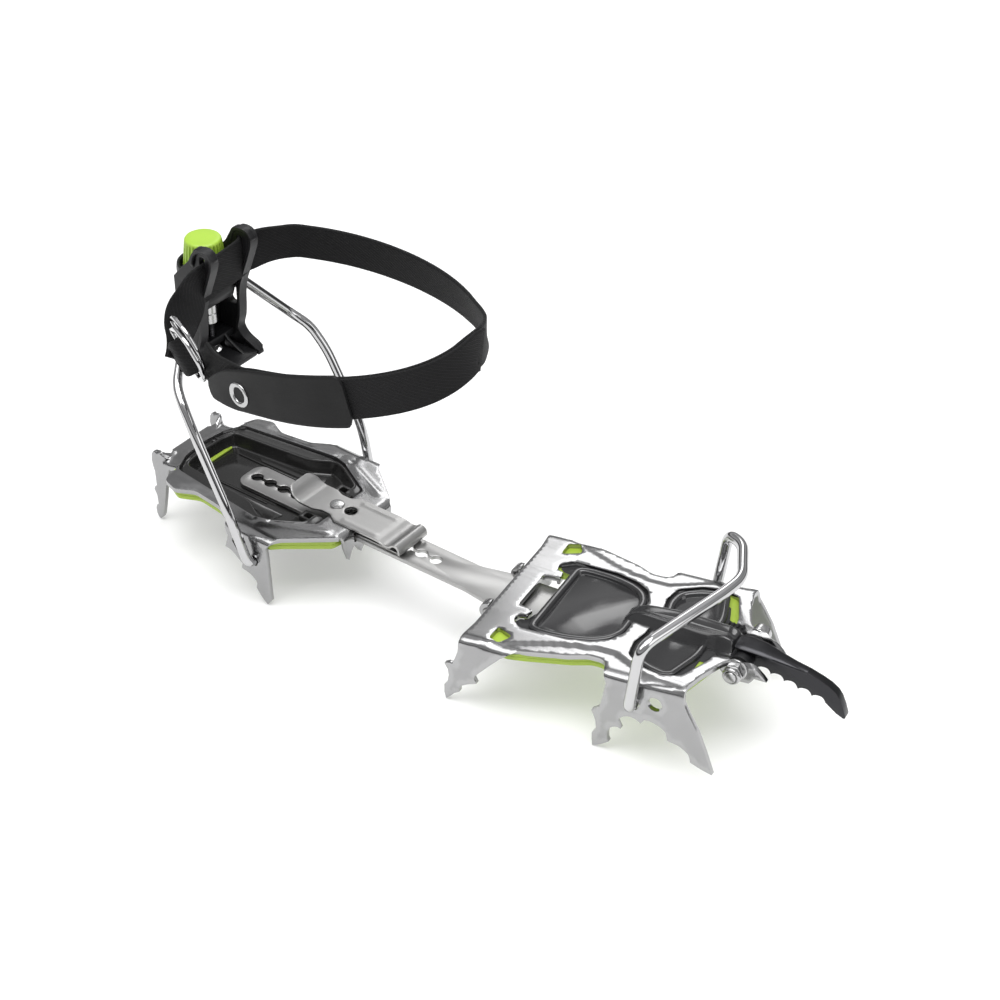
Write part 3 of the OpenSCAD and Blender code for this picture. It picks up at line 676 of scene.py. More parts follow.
rear_point = [(8.5, -7), (6.6, -11.5), (5.2, -14.6), (3.2, -14.4), (1.3, -15.2), (2.7, -18), (2.9, -21.2),
    (1.9, -25), (0.2, -26.8), (-0.2, -31), (0.4, -34.5), (2.6, -32.6), (4.7, -30.4), (7.3, -28.9),
    (7.6, -26.6), (8.6, -25.2), (12.5, -23.2), (16.2, -21.8), (15.2, -19.6), (16.1, -17.6), (20.6, -13),
    (24.4, -9.2), (28.6, -5.2)]
side_points = ([(75.8, -5.6), (74.3, -12), (72.4, -18.6), (70.6, -20), (68.6, -21.4), (70.2, -26.5),
    (70.2, -30), (69.9, -31.6), (68.2, -33.4), (67.9, -37), (68, -40.4), (70, -39.6), (72, -38.6),
    (75.7, -36.1), (75.2, -34.6), (75.2, -33)]
  + arc((80.6, -31.9), 5.2, 170, 95, 6) + [(81.7, -27.2), (80.4, -23.9)] + arc((86.3, -25.4), 6, 155, 48,
      8) + [(90.9, -21.5), (92.6, -19.2)]
  + arc((93.8, -29.9), 11, 84, 40, 6) + [(102.6, -26.7)] + arc((103.6, -37.6), 10.6, 72, 38,
      5) + [(112.4, -32.6), (112.7, -34.9), (117.5, -37), (122.2, -38.4), (119.4, -28), (116.2, -18),
      (113, -11.2), (110.4, -5.6)])
front_flange = [(123.4, -0.9), (126.5, -1.6), (129.7, -3.3), (132.2, -5.8), (133.9, -8.0), (131, -7.9),
    (128.5, -7.8), (127.4, -9.6), (126, -10.9), (121, -11), (116, -10.9), (113.6, -7.5)]
half = ([(10.5, 0), (10.5, 30), (9.6, 38.4)] + flap(rear_point, V_REAR)
  + rounded([(32.2, 39.6), (37.5, 39.4, 9), (56, 34.5, 9), (64, 31, 6), (71, 31, 6),
      (76, 36.4)])[1:-1] + flap(side_points, V_SIDE)
  + rounded([(109.6, 36.6), (110.2, 33.6, 3), (112.2, 26, 8), (116.2, 16, 8), (119.4, 11.4, 1),
      (123, 11.6)])[1:-1]
  + [(u, V_FRONT + R_FRONT - unfold(w, R_FRONT)) for u, w in front_flange] + [(112, 8.6)]
  + rounded([(111.6, 8), (111, 15, 4), (105, 29, 4), (97, 31.8, 5), (88, 30, 6), (79, 24.5, 4),
      (77.6, 16, 3), (79.3, 9, 1), (79.5, 0)], 8)[1:])
half_a = [(21.3, 11.2, 1.5), (26.8, 12.2, 0.6), (29, 13.2, 0.5), (28, 16.8, 0.8), (25, 17.6, 1.5),
    (24, 21.5, 3), (29, 25.8, 5), (50, 25.2, 10), (61, 22.6, 8), (68, 18.5, 4), (71.6, 12, 3)]
window_a = rounded(half_a + flip(half_a), 8)
window_tri = rounded([(21, 28.6, 1.2), (20.8, 36.8, 1.6), (26.2, 38.6, 1.6), (29.6, 32.6, 1.6)])


def side_hole(u, w, r):
    return round_hole(u, V_SIDE - R_SIDE + unfold(w, R_SIDE), r)


bolt_hole = round_hole(BOLT_U, V_FRONT + R_FRONT - unfold(BOLT_W, R_FRONT), 2.6)
front_holes = [window_a]
for h in (window_tri, side_hole(87.6, -12.2, 3.25), side_hole(97.7, -9.7, 3.25), bolt_hole):
    front_holes += [h, flip(h)]
RAIL_LINE = [(10, 44.5), (15.5, 42.4), (28.7, 37.6), (48.2, 29.8), (58, 27.2), (67, 25.9), (75.2, 26.2),
    (82.8, 30.0), (92, 34.6), (101.6, 36.6), (112, 37.6)]


def along(line, x):
    for (a, b), (c, d) in zip(line, line[1:]):
        if x <= c:
            return b + (d - b) * max(0.0, x - a) / (c - a)
    return line[-1][1]


def step01(x):
    x = min(1.0, max(0.0, x))
    return x * x * (3 - 2 * x)


def front_press(u, v):
    """A step pressed down along each rail, outside a line, and a crease over the bail holes."""
    s = abs(v)
    d = (s - along(RAIL_LINE, u)) * 0.93
    low = -0.55 * (step01(d + 0.5) if s < 44 else 1)
    fade = step01((46.5 - s) / 6)
    crease = 0.5 * math.exp(-((u - 93.5) / 1.3) ** 2) * step01((s - 36) / 2) * step01((50 - s) / 9)
    return low * fade + crease


sheet("front_frame_plate", both(half), front_holes, front_bend, SHEET, 1.7, FRONT, STEEL, "front",
    ["front_frame"], front_press, 0.4)

hooks = Piece(FRONT, STEEL)
for side in (-1, 1):
    roll = arc((9, -4.4), 4.36, 80, 284, 17) + arc((9, -4.4), 2.16, 290, 86, 17)
    hooks.slab(roll, -2.3, 2.3, shifted(FRONT, y=side * 14.3) @ SIDE, bevel=0.3)
    tab = rounded([(26.6, -4.6, 0.8), (28.2, -4.6, 0.8), (28.4, -0.4), (26.6, -0.4)])
    hooks.slab(tab, -1.8, 1.8, shifted(FRONT, y=side * 15) @ SIDE, bevel=0.3)
hooks.done("front_frame_hooks", "front")

# ---- heel frame ------------------------------------------------------------------
# half widths at the spikes and the sides, and the front wall's place and bend radius
Y_SPIKE, Y_HEEL, X_WALL, R_WALL = 19.9, 38.5, -62.6, 2.0
REAR_X, SPIKE_X = -158, -165


def heel_bend(x, y):
    """Sides and the front wall fold down; behind SPIKE_X the rear points stand upright."""
    s, side = abs(y), 1 if y >= 0 else -1
    if x > X_WALL - R_WALL and s < 17.2:
        out, down, a = fold(x - (X_WALL - R_WALL), R_WALL)
        return (X_WALL - R_WALL + out, y, MID - down), (math.sin(a), 0, math.cos(a))
    edge = Y_SPIKE if x < REAR_X else Y_HEEL
    out, down, a = fold(s - (edge - R_SIDE), R_SIDE)
    if x < SPIKE_X:
        k = min(1, (SPIKE_X - x) / 3)
        near = min(1, max(0, (s - 13.0) / 2))
        k = k * k * (3 - 2 * k) * near * near * (3 - 2 * near)
        run = s - (edge - R_SIDE) - R_SIDE * math.pi / 2
        out, down = out + (R_SIDE - out) * k, down + (R_SIDE + run - down) * k
        a += (math.pi / 2 - a) * k
    return (x, side * (edge - R_SIDE + out), MID - down), (0, side * math.sin(a), math.cos(a))


spike = [(-168.6, 2.6), (-170.4, 3.0), (-172.6, 2.2), (-173.6, 0.4), (-174, -3), (-173.4, -6.5),
    (-172.6, -9), (-172.5, -13), (-172.4, -17), (-173.6, -18), (-174.2, -19.6), (-172.8, -22.6),
    (-172.4, -27.6), (-173.8, -28.8), (-174.2, -30.6), (-174, -33.4), (-173, -35.2), (-171.9, -35.9),
    (-170.6, -34.6), (-169.6, -32.4), (-168.2, -26), (-167, -20), (-166.2, -15), (-165.4, -11),
    (-163.6, -4.6)]
heel_points = ([(-110.2, -6.5), (-110.8, -9.6), (-112.3, -14)] + arc((-112.6, -24.4), 10.6, 83, 40,
    6) + [(-102.2, -18.9), (-102.9, -21.8)]
  + arc((-102.6, -33.6), 11.6, 88, 46, 6) + [(-94.1, -26.6), (-94.6, -29.2), (-92.6, -32.2), (-90.4, -34.4),
      (-88.5, -35.9), (-86.4, -33), (-86.9, -22), (-87.4, -10), (-87.8, -5)])
wall = [(16.8, -1.5), (15.6, -8), (13.4, -14.4), (11.4, -10.2), (9.6, -8.2), (7.6, -10.4), (5.2, -14.2),
    (2.8, -11.4), (0, -10.2)]


def wall_x(z):
    return X_WALL - R_WALL + unfold(z, R_WALL)


def side_y(z):
    return Y_HEEL - R_SIDE + unfold(z, R_SIDE)


half = ([(-169, 0)] + rounded([(-169, 9), (-169, 12.4, 2), (-166.6, 13.8)])[1:] + [(x,
    Y_SPIKE - R_SIDE + R_SIDE * math.pi / 2 + MID - R_SIDE - z) for x, z in spike]
  + rounded([(-162.6, 21.4), (-158.5, 24, 5), (-155, 31.5, 4), (-147, 34, 4), (-138, 29.5, 7),
      (-122, 31.5, 9), (-113, 36.6, 4), (-110.6, 37.4)])[1:-1] + [(x, side_y(z)) for x, z in heel_points]
  + rounded([(-86.8, 37.4), (-83, 34, 4), (-66, 20.5, 5), (-63.4, 18), (-62.4, 17)])[1:-1] + [(wall_x(z),
      y) for y, z in wall])
window = rounded(both([(-161.5, 0), (-160, 13, 3), (-155.5, 22.5, 4), (-104, 28.8, 7), (-97, 27, 5),
    (-77.4, 16.2, 2.5), (-77.4, 2.6)]), 8)
heel_hole = round_hole(-95.3, side_y(-14.2), 2.7)
slot_turn = math.degrees(math.atan2(-13 + 8.4, -103.2 + 106.4))
long_slot = arc((-106.4, -8.4), 1.3, slot_turn + 90, slot_turn + 270) + arc((-103.2, -13), 1.3,
    slot_turn - 90, slot_turn + 90)
long_slot = [(x, side_y(z)) for x, z in long_slot]
bar_slot = rounded([(wall_x(-2.3), -9.6, 1), (wall_x(-2.3), 9.6, 1), (wall_x(-6.9), 9.6, 0.6),
    (wall_x(-6.9), -9.6, 0.6)])
clip_hole = round_hole(-70.9, BAR_Y, 2.9)
holes = [window, clip_hole, heel_hole, flip(heel_hole), long_slot, flip(long_slot), bar_slot]
HEEL_EDGE = [(-169, 12), (-163, 20), (-158.5, 24), (-155, 31), (-147, 33.6), (-138, 30), (-122, 31.5),
    (-113, 36), (-92, 40)]
NEAR_BEAD = [(-99, 30.6), (-90, 26.8), (-70, 18.2)]
WINDOW_LINE = [(-161.5, 0), (-160.6, 8), (-159.2, 14), (-155.5, 22.3), (-130, 25.6), (-107, 28.6),
    (-97, 27), (-77.4, 16.2)]


def heel_press(x, y):
    """A bead along each front rail and a lip that rises round the window."""
    s = abs(y)
    if s > 37:
        return 0.0
    bead = 0.6 * math.exp(-(near_line(x, s, NEAR_BEAD) / 1.4) ** 2)
    lip = 0.5 * math.exp(-(near_line(x, s, WINDOW_LINE) / 1.3) ** 2) if x < -96 else 0.0
    wave = -0.5 * step01((s - along(HEEL_EDGE, x) + 5.0) / 4.0) if -166 < x < -92 else 0.0
    return bead + lip + wave


sheet("heel_frame_plate", both(half), holes, heel_bend, SHEET, 1.7, HEEL, STEEL, "heel", ["heel_frame"],
    heel_press, 0.4)

# ---- wires: points (x, y, z, cut) in the section that holds them --------------------
toe = [(87.6, -34.4, -12.2), (87.6, -43.2, -12.2, 4), (94.4, -43.4, 20.8, 7), (110.5, 4, 21.5, 14),
    (112.8, 15, 21.5, 8), (103.6, 37, 21.5, 6), (94.4, 43.4, 20.3, 5), (87.6, 43.2, -12.2, 4),
    (87.6, 34.4, -12.2)]
tube("toe_bail_wire", smooth_path(toe), 2.5, FRONT, WIRE, "toe_bail", ["toe_bail"])
heel = [(-95.3, -34.6, -14.2), (-95.3, -43, -14.2, 4), (-101.8, -45.2, 9.6, 10), (-120.2, -44.2, 44.8, 10),
    (-128, -42, 56, 6), (-135, -38, 61.5, 8), (-145, -17, 86, 3)]
tube("heel_bail_wire", smooth_path(heel + flip(heel)), 2.25, HEEL, WIRE, "heel_bail", ["heel_bail"])

# ---- webbing ---------------------------------------------------------------------
UP = (0, 0, 1)
WEB_WIDE = 19
# the ankle loop's ellipse: its centre in x and its half length and width
LOOP_X, LOOP_LONG, LOOP_WIDE = -75, 72, 42


def on_loop(a, out, z):
    """A point on the ankle loop's ellipse at angle a, moved out along its normal."""
    a = math.radians(a)
    n = Vector((math.cos(a) / LOOP_LONG, math.sin(a) / LOOP_WIDE)).normalized()
    return (LOOP_X + LOOP_LONG * math.cos(a) + n.x * out, LOOP_WIDE * math.sin(a) + n.y * out, z)


def loop_z(a):
    """Height of the loop's middle line: level on the far side, highest in front, falling to the rings."""
    if a >= 0:
        return 107 + 3.5 * max(0, 1 - a / 40) ** 2
    return 110.5 + 0.29 * a - 0.006 * max(0, -a - 90) ** 2


# the middle of the outer ring's straight bar, that bar's direction, the way to its bow, and its normal
ring_c, ring_d = Vector((-133.4, -32.4, 81.2)), Vector((0.576, 0.031, -0.817)).normalized()
ring_e = ring_d.cross(Vector((0.736, -0.454, 0.502))).cross(ring_d).normalized()
ring_n = ring_d.cross(ring_e)


def by_ring(d, e, n):
    return ring_c + d * ring_d + e * ring_e + n * ring_n


path = [(-138, -15.6, 100.6), (-137.9, -11, 100.2), (-137.9, 0, 101), (-137.9, 10, 102),
    (-137.5, 14.6, 103.2), (-134.0, 21.0, 104.6), (-128.6, 26.9, 106.0)]
path += [on_loop(a, 0, loop_z(a)) for a in steps(132, -103, 33)] + [(-104, -38.2, 77.7), (-110, -36.9, 77),
    (-115.4, -35.2, 77.4), (-121.5, -33.0, 79.6)]
path = spline([list(q) for q in path], 4)


def lean(p):
    """The far side's top leans in over the ankle."""
    k = 0.21 * step01((p[1] - 14) / 14)
    return Vector(((LOOP_X - p[0]) / LOOP_LONG * k * 0.8, -k, 1))


path = [[x, y, z - 1.0 * step01((y - 20) / 14)] for x, y, z in path]
ribbon("ankle_webbing", path, [lean(p) for p in path], [WEB_WIDE] * len(path), 1.5, HEEL, WEBBING, "lever",
    ["ankle_strap"], 14)

path = [on_loop(a, 1.72 + 0.12 * math.sin(math.radians(a * 9)), loop_z(a)) for a in steps(-62, 5.4, 40)]
ribbon("tail_webbing", path, [UP] * len(path), [WEB_WIDE] * len(path), 1.45, HEEL, WEBBING, "lever",
    ["strap_tail"], 14)

# short piece: out of the slot, down outside the lever, round the rings' bars and back under itself
slot_side = [(-138, -14.2, 101), (-138.2, -16.6, 100.9), (-138.3, -19.2, 99.7), (-138.1, -23.0, 95.8),
    (-138.1, -27.4, 90.2), (-137.3, -31.2, 83.4)]
slot_wide = [(0, 0, 1), (0, 0, 1), (-0.08, 0, 1), (-0.25, 0, 0.96), (-0.42, 0, 0.9), list(-ring_d)]
wrap = [(4.2, -6.6, 5.2), (4.6, -4, 5.6), (4.8, -0.5, 5.4), (4.8, 2.0, 4.2), (4.8, 2.9, 1.8),
    (4.8, 2.2, -0.6), (4.6, 0.2, -2.2), (4.4, -3.4, -2.7)]
path = spline([list(q) for q in slot_side] + [list(by_ring(*q)) for q in wrap], 6)
wide = spline([list(q) for q in slot_wide] + [list(-ring_d)] * len(wrap), 6)
# it is gathered where it turns into the rings
gathered = [17.0 - 7.0 * math.exp(-((k / len(path) - 0.44) / 0.09) ** 2) for k in range(len(path))]
ribbon("ring_webbing", path, wide, gathered, 1.35, HEEL, WEBBING, "lever", ["strap_loop"], 14)

# rubbery patch with a rounded outer end and a narrow neck at the rings
angles = steps(-120, -58.6, 72)
path = [on_loop(a, 3.7, loop_z(a)) for a in angles]


def patch_width(a):
    """The patch's width at angle a of the loop: narrow at the rings, round at both ends."""
    if a < -104:
        wide = WEB_WIDE - 10 * ((-104 - a) / 15) ** 1.5
    else:
        wide = WEB_WIDE + 5.6 * (1 - ((-60 - a) / 44) ** 2)
    outer_end = math.sqrt(max(0.1, 1 - 0.55 * max(0.0, (a + 61) / 2.4) ** 2))
    return wide * outer_end * math.sqrt(max(0.15, 1 - max(0.0, (-118.6 - a) / 1.6) ** 2))


ribbon("strap_patch_skin", path, [UP] * len(path), [patch_width(a) for a in angles], 1.75, HEEL, PATCH,
    "lever", ["strap_patch"], 16)

# bright eyelet
here = Vector(on_loop(-102, 3.7, loop_z(-102) - 1.5))
out = (Vector(on_loop(-101, 4.7, 0)) - Vector(on_loop(-101, 3.7, 0))).normalized()
eye = HEEL @ Matrix.Translation(here) @ out.to_track_quat("Z", "Y").to_matrix().to_4x4()
lathe("patch_eyelet", [(4.2, -1.1), (4.2, 0.86), (5.55, 0.86), (5.7, 1.05), (5.6, 1.3), (5.2, 1.5),
    (4.7, 1.56), (4.1, 1.45), (3.6, 1.15), (3.35, 0.7), (3.3, -0.4), (3.3, -0.9)], eye, FASTENER, "lever",
    ["patch_grommet"], 64, 60)
lathe("patch_eyelet_hole", [(3.32, -0.86), (3.32, -0.6)], eye, TRAY, "lever", [], 48)


def squared(x):
    """Cosine or sine of a section with squarer corners."""
    return math.copysign(abs(x) ** 0.6, x)


def d_ring(name, shift, out, cover):
    """Flattened wire bent to a D."""
    c = by_ring(shift, 0, out)
    flat = rounded([(-12.4, 0, 2.6), (12.4, 0, 2.6), (11.9, 10.2, 6), (5.2, 16.6, 8), (-5.2, 16.6, 8),
        (-11.9, 10.2, 6)], 10)
    flat = spaced(flat, 1.2)
    pts = [c + ring_d * x + ring_e * y for x, y in flat]
    rings = []
    for i, q in enumerate(pts):
        along_wire = (pts[(i + 1) % len(pts)] - pts[i - 1]).normalized()
        b = along_wire.cross(ring_n).normalized()
        bow = step01(((q - c).dot(ring_e) - 2.0) / 6.0)
        flat_x, flat_y = b * (1.0 + 0.5 * bow), ring_n * 0.92
        rings.append([q + flat_x * squared(x) + flat_y * squared(y) for x, y in circle(1, 20)])
    skin(name, rings, HEEL, WIRE, "lever", cover, 60, closed=True)


d_ring("d_ring_outer", 0, 0, ["ring_outer"])
d_ring("d_ring_inner", 4.2, 2.1, ["ring_inner"])

# ---- lever -----------------------------------------------------------------------
LEVER_X = -149.6
wall_outline = rounded([(-130.8, 113, 2), (-133.4, 116.6, 3), (-141.5, 116.6, 4), (-146.5, 108, 5),
    (-152.2, 102, 4), (-155.8, 98, 1), (-155.8, 56, 2), (-150, 53.6, 3), (-141, 54.6, 3), (-130.4, 54.6, 1),
    (-130.6, 57, 1), (-139.8, 59.4, 6), (-144.6, 64.2, 5), (-141.2, 72, 6), (-140.8, 82, 6),
    (-139.4, 90, 8), (-132.8, 108, 4)], 8)
wire_slot = box(-147.7, -142.3, 76.4, 95.6, 2)
web_slot = box(-139.3, -136.5, 89.2, 112.8, 1)


def rim_band(edge, y0, y1, t):
    """A band along part of the wall's edge, wider than the wall."""
    c = [Vector((x, 0, z)) for x, z in edge]
    tg = tangents(c)
    ring = [(-1, 0.25), (-0.8, 0.9), (-0.3, 1), (0.3, 1), (0.8, 0.9), (1, 0.25), (1, -1), (-1, -1)]
    rings = []
    for i, q in enumerate(c):
        normal = Vector((-tg[i].z, 0, tg[i].x))
        ends = min(1.0, 0.4 + 0.6 * min(i, len(c) - 1 - i) / 3)
        middle, half = (y0 + y1) / 2, (y1 - y0) / 2 * ends
        rings.append([q + normal * (h * t / 2 * ends) + Vector((0, middle + a * half, 0)) for a, h in ring])
    return rings


edge = spline([(-131.6, 55.8), (-135, 58.0), (-140.2, 60.6), (-143.2, 65), (-141.9, 70.5), (-141.3, 76),
    (-141.0, 82), (-139.9, 88.5), (-137.0, 96.5), (-133.6, 105.5), (-132.2, 110), (-132.3, 113.4),
    (-134.4, 115.6), (-138, 115.8), (-140.6, 114.6), (-142.4, 111.6), (-143.4, 106)], 6)
lever = Piece(HEEL, BLACK)
for side in (-1, 1):
    lever.slab(wall_outline, -1.5, 1.5, shifted(HEEL, y=side * 12) @ SIDE, holes=[wire_slot, web_slot],
        bevel=0.5, segments=3)
    lo, hi = (-15.0, -10.2) if side < 0 else (10.2, 15.0)
    lever.skin(rim_band(edge, lo, hi, 1.7))
    # raised frame round the wire slot, outside
    lever.slab(box(-149.4, -140.9, 74.8, 97.2, 3), -0.5, 0.5, shifted(HEEL, y=side * 13.8) @ SIDE,
        holes=[wire_slot], bevel=0.3)
back = Matrix(((0, 0, 1, -154.8), (1, 0, 0, 0), (0, 1, 0, 0), (0, 0, 0, 1)))
lever.slab(rounded([(-12, 58, 3), (12, 58, 3), (12, 101, 6), (-12, 101, 6)]), -1, 1, HEEL @ back, bevel=0.5)
for z0, z1 in ((60, 63.6), (95.4, 97.7)):
    web = rounded([(-155, -11), (-145.6, -11, 0.5), (-145.6, 11, 0.5), (-155, 11)])
    lever.slab(web, z0, z1, holes=[circle(2.15, 40, LEVER_X)], bevel=0.3)
ledge = rounded([(-155.4, -11), (-131.4, -11, 2), (-131.4, 11, 2), (-155.4, 11)])
lever.slab(ledge, 54.6, 56.6, holes=[circle(4.4, 40, LEVER_X)], bevel=0.4)
gusset = [(-145.8, 63.2), (-145.8, 56.2), (-134, 56.2), (-139.5, 58.6), (-143.6, 61)]
for y in (-5.2, 5.2):
    lever.slab(gusset, -0.7, 0.7, shifted(HEEL, y=y) @ SIDE, bevel=0.25)
# cup round the knob's rear half
cup = [(12.4, 87), (12.5, 99), (12.2, 101.1), (11.6, 101.6), (10.95, 101.1), (10.7, 99), (10.6, 87)]
rings = []
for a in [math.radians(a) for a in steps(96, 264, 48)]:
    rings.append([(LEVER_X + r * math.cos(a), r * math.sin(a), z) for r, z in cup])
lever.skin(rings)
lever.done("heel_lever_shell", "lever", ["heel_lever"])

# ---- knob ------------------------------------------------------------------------
# radius, height and share of the flutes' depth
rows = [(8.9, 0.0, 0.3), (9.35, 0.35, 1), (9.6, 1.2, 1), (9.4, 3, 1), (9.15, 5.5, 1), (8.85, 8.5, 1),
    (8.55, 11.2, 0.95), (8.4, 12.6, 0.75), (8.28, 13.5, 0.35), (8.12, 14.2, 0.08), (7.75, 14.7, 0),
    (7.1, 14.94, 0), (5.5, 15.0, 0), (2.5, 14.98, 0)]
FLUTES, FLUTE_POINTS = 28, 12
KNOB_Z, FLUTE_DEEP = 98, 0.95
rings = []
for r, z, depth in rows:
    ring = []
    for k in range(FLUTES * FLUTE_POINTS):
        cut = max(0.0, math.cos(2 * math.pi * (k / FLUTE_POINTS % 1))) ** 0.8
        a = 2 * math.pi * k / (FLUTES * FLUTE_POINTS)
        bit = r - FLUTE_DEEP * depth * cut
        ring.append((LEVER_X + bit * math.cos(a), bit * math.sin(a), KNOB_Z + z))
    rings.append(ring)
skin("knob_fluted", rings, HEEL, LIME, "knob", ["adjust_knob"], 60)

# ---- snow plates -------------------------------------------------------------------
def spans(holds, lo, hi):
    """Stretches of more than 4 mm between lo and hi where holds(q) is true, in half millimetres."""
    run = []
    for q in [k / 2 for k in range(2 * lo, 2 * hi + 1)]:
        if holds(q) and holds(q + 0.5) and holds(q - 0.5):
            run.append(q)
            continue
        if run and run[-1] - run[0] > 4:
            yield run[0], run[-1]
        run = []


def ribs(piece, outline, xs, ys, lo, hi, half=0.55):
    """Stiffening ribs under a moulding: straight ones across and along, kept inside its outline."""
    for x in xs:
        for y0, y1 in spans(lambda y: inside(x, y, outline), -50, 50):
            piece.slab(box(x - half, x + half, y0, y1), lo, hi, bevel=0.2)
    for y in ys:
        for x0, x1 in spans(lambda x: inside(x, y, outline), -170, 130):
            piece.slab(box(x0, x1, y - half, y + half), lo, hi, bevel=0.2)


front_plan = [(12.5, -19.5, 2), (12.5, -39.5, 3), (31, -40, 4), (38, -38.6, 9), (57, -33.4, 9),
    (65, -30, 6), (71, -30, 6), (76.5, -36.6, 3), (107.2, -36.4, 4), (107.4, -33, 4), (109.8, -24, 6),
    (112.8, -13.5, 2), (106, -12, 3)]
front_plan = front_plan + flip(front_plan) + [(34, 19.5, 2), (34, -19.5, 2)]
front_loop, rim = rounded(front_plan, 8), rounded(inset(front_plan, 1.6), 8)
plate = Piece(FRONT, GREEN)
plate.slab(front_loop, -4.5, -2.3)
plate.slab(front_loop, -6.3, -4.4, holes=[rim])
ribs(plate, rim, range(40, 101, 12), range(-24, 25, 12), -6.0, -4.4)
plate.done("front_snow_plate", "front", ["front_abs_base"])

heel_out = [(-165, 0), (-165, 11, 4), (-160.5, 19, 3), (-156, 28, 4), (-147, 32.4, 4), (-137, 27.8, 7),
    (-122, 29.8, 9), (-113, 35, 4), (-110, 36.8, 2), (-88, 36.8, 2.5), (-84, 33, 4), (-66, 19.2, 4),
    (-64.4, 10, 1)]
heel_in = [(-79.6, 9.9, 1), (-79.6, 17.4, 2), (-97.6, 27.6, 2), (-103.6, 28.6, 3), (-113.8, 22.6, 4),
    (-136, 19.9, 8), (-156.4, 18, 3), (-158.9, 10, 2), (-158.9, 0)]
heel_plan = both(heel_out + heel_in)
heel_loop, rim = rounded(heel_plan, 8), rounded(inset(heel_plan, 1.3), 8)
plate = Piece(HEEL, GREEN)
plate.slab(heel_loop, -4.6, -2.3)
plate.slab(heel_loop, -6.9, -4.5, holes=[rim])
ribs(plate, rim, [-150, -138, -126, -115, -104, -93, -82], [-30, -24.5, 24.5, 30], -6.6, -4.5)
# strip that shows at the rear of the tray's floor
plate.slab(box(-156.6, -154.2, -3, 12.8, 0.5), -6.95, -6.2, bevel=0.2)
plate.done("heel_snow_plate", "heel", ["heel_abs_base"])

# ---- heel tray ---------------------------------------------------------------------
rim_a = [(-160.8, 0), (-159.3, 12.6, 3), (-155, 22, 4), (-130, 25.1, 6), (-113, 27, 4), (-104, 28.1, 5),
    (-97.3, 26.2, 5), (-78.6, 16.6, 2.5), (-78.6, 10.4)]
rim_b = [(-157.6, 0), (-157.2, 10, 1.5), (-155.8, 16.4, 3), (-136, 18.3, 8), (-113.4, 20.6, 4),
    (-103, 26.6, 3), (-97.6, 25.4, 3), (-83.4, 17.2, 2), (-83.4, 10.4)]


def open_path(corners):
    """An open path over the middle line, rounded, from the corners of one half."""
    (x0, y0), (x1, y1) = corners[0][:2], corners[1][:2]
    pts = [Vector((x0, y0))] + eased([(2 * x0 - x1, 0)] + corners[1:-1] + [corners[-1][:2]], 8)[1:]
    return [Vector((p.x, -p.y)) for p in reversed(pts[1:])] + pts


def inward(pts):
    """Unit vectors to the right of the path at each point."""
    last = len(pts) - 1
    run = [(pts[min(i + 1, last)] - pts[max(i - 1, 0)]).normalized() for i in range(last + 1)]
    return [Vector((d.y, -d.x)) for d in run]


pa, pb = open_path(rim_a), open_path(rim_b)
# the floor's upper face, and where what stands on it starts
FLOOR_Z, RELIEF_Z = -7.0, -7.1
# section of the wall: 0 measures from rim_a and 1 from rim_b, then how far in, and the height
profile = [(0, -1.0, -2.2), (0, -1.0, -1.3), (0, 0.05, -1.0), (0, 0.45, -0.65), (1, -1.4, -0.85),
    (1, -0.95, -0.65), (1, -0.55, -0.4), (1, -0.2, -0.42), (1, 0.1, -0.7), (1, 0.35, -1.5), (1, 1.4, -6.2),
    (1, 1.7, -6.8), (1, 2.2, -7.0), (1, 2.4, -9.1), (1, -0.6, -9.1), (1, -0.8, -2.2)]
rings = []
for a, b, from_a, from_b in zip(pa, pb, inward(pa), inward(pb)):
    ring = [(b + from_b * d if at_b else a + from_a * d, z) for at_b, d, z in profile]
    rings.append([(q.x, q.y, z) for q, z in ring])
tray = Piece(HEEL, TRAY)
tray.skin(rings, bevel=0.12, smooth=32)
floor_plan = [(-155.9, 0), (-155.6, 9.4, 1.5), (-154.2, 15.0, 3), (-136, 16.9, 8), (-113.4, 19.2, 4),
    (-103, 25.0, 3), (-97.6, 23.8, 3), (-85, 16, 2), (-82.9, 10.2, 1)]
tray.slab(rounded(both(floor_plan), 8), -9.2, FLOOR_Z, bevel=0.2)
for y in (-11.0, 11.0):
    tray.slab(box(-148.6, -112, y - 0.4, y + 0.4, 0.4), RELIEF_Z, -6.35, bevel=0.2)
# tongue under the clip, and a raised pad in the middle of the floor
tray.slab(rounded([(-84, -8, 0.5), (-66.2, -8, 1.5), (-66.2, 8, 1.5), (-84, 8, 0.5)]), -8.6, -7.3,
    bevel=0.2)
tray.slab(box(-150, -108, -10, 10, 1.5), RELIEF_Z, -6.7, bevel=0.2)
for y in (-1, 1):
    wedge = [(-140.7, y * 15.6, 1), (-111.8, y * 17.8, 1), (-103, y * 21.5, 2), (-100, y * 13.2, 1),
        (-136, y * 12.6, 1)]
    tray.slab(rounded(wedge), RELIEF_Z, -6.55, bevel=0.25)
    hook = [(-89.5, y * 9.4, 1), (-79.8, y * 9.4, 1), (-79.8, y * 15.3, 1.4), (-89.5, y * 15.3, 1)]
    eye = [(-87.6, y * 10.8, 0.6), (-81.2, y * 10.8, 0.6), (-81.2, y * 13.9, 0.8), (-87.6, y * 13.9, 0.6)]
    tray.slab(rounded(hook), RELIEF_Z, -1.0, holes=[rounded(eye)], bevel=0.3)
for y in (4.6, 7.2):
    tray.slab(box(-160.2, -158.2, y, y + 1.2, 0.4), -0.9, -0.35, bevel=0.15)
for x in range(-148, -99, 12):
    tray.slab(box(x - 0.5, x + 0.5, -14, 14, 0.3), -9.9, -9.1, bevel=0.15)
tray.done("heel_tray_moulding", "heel", ["heel_abs_tray"])

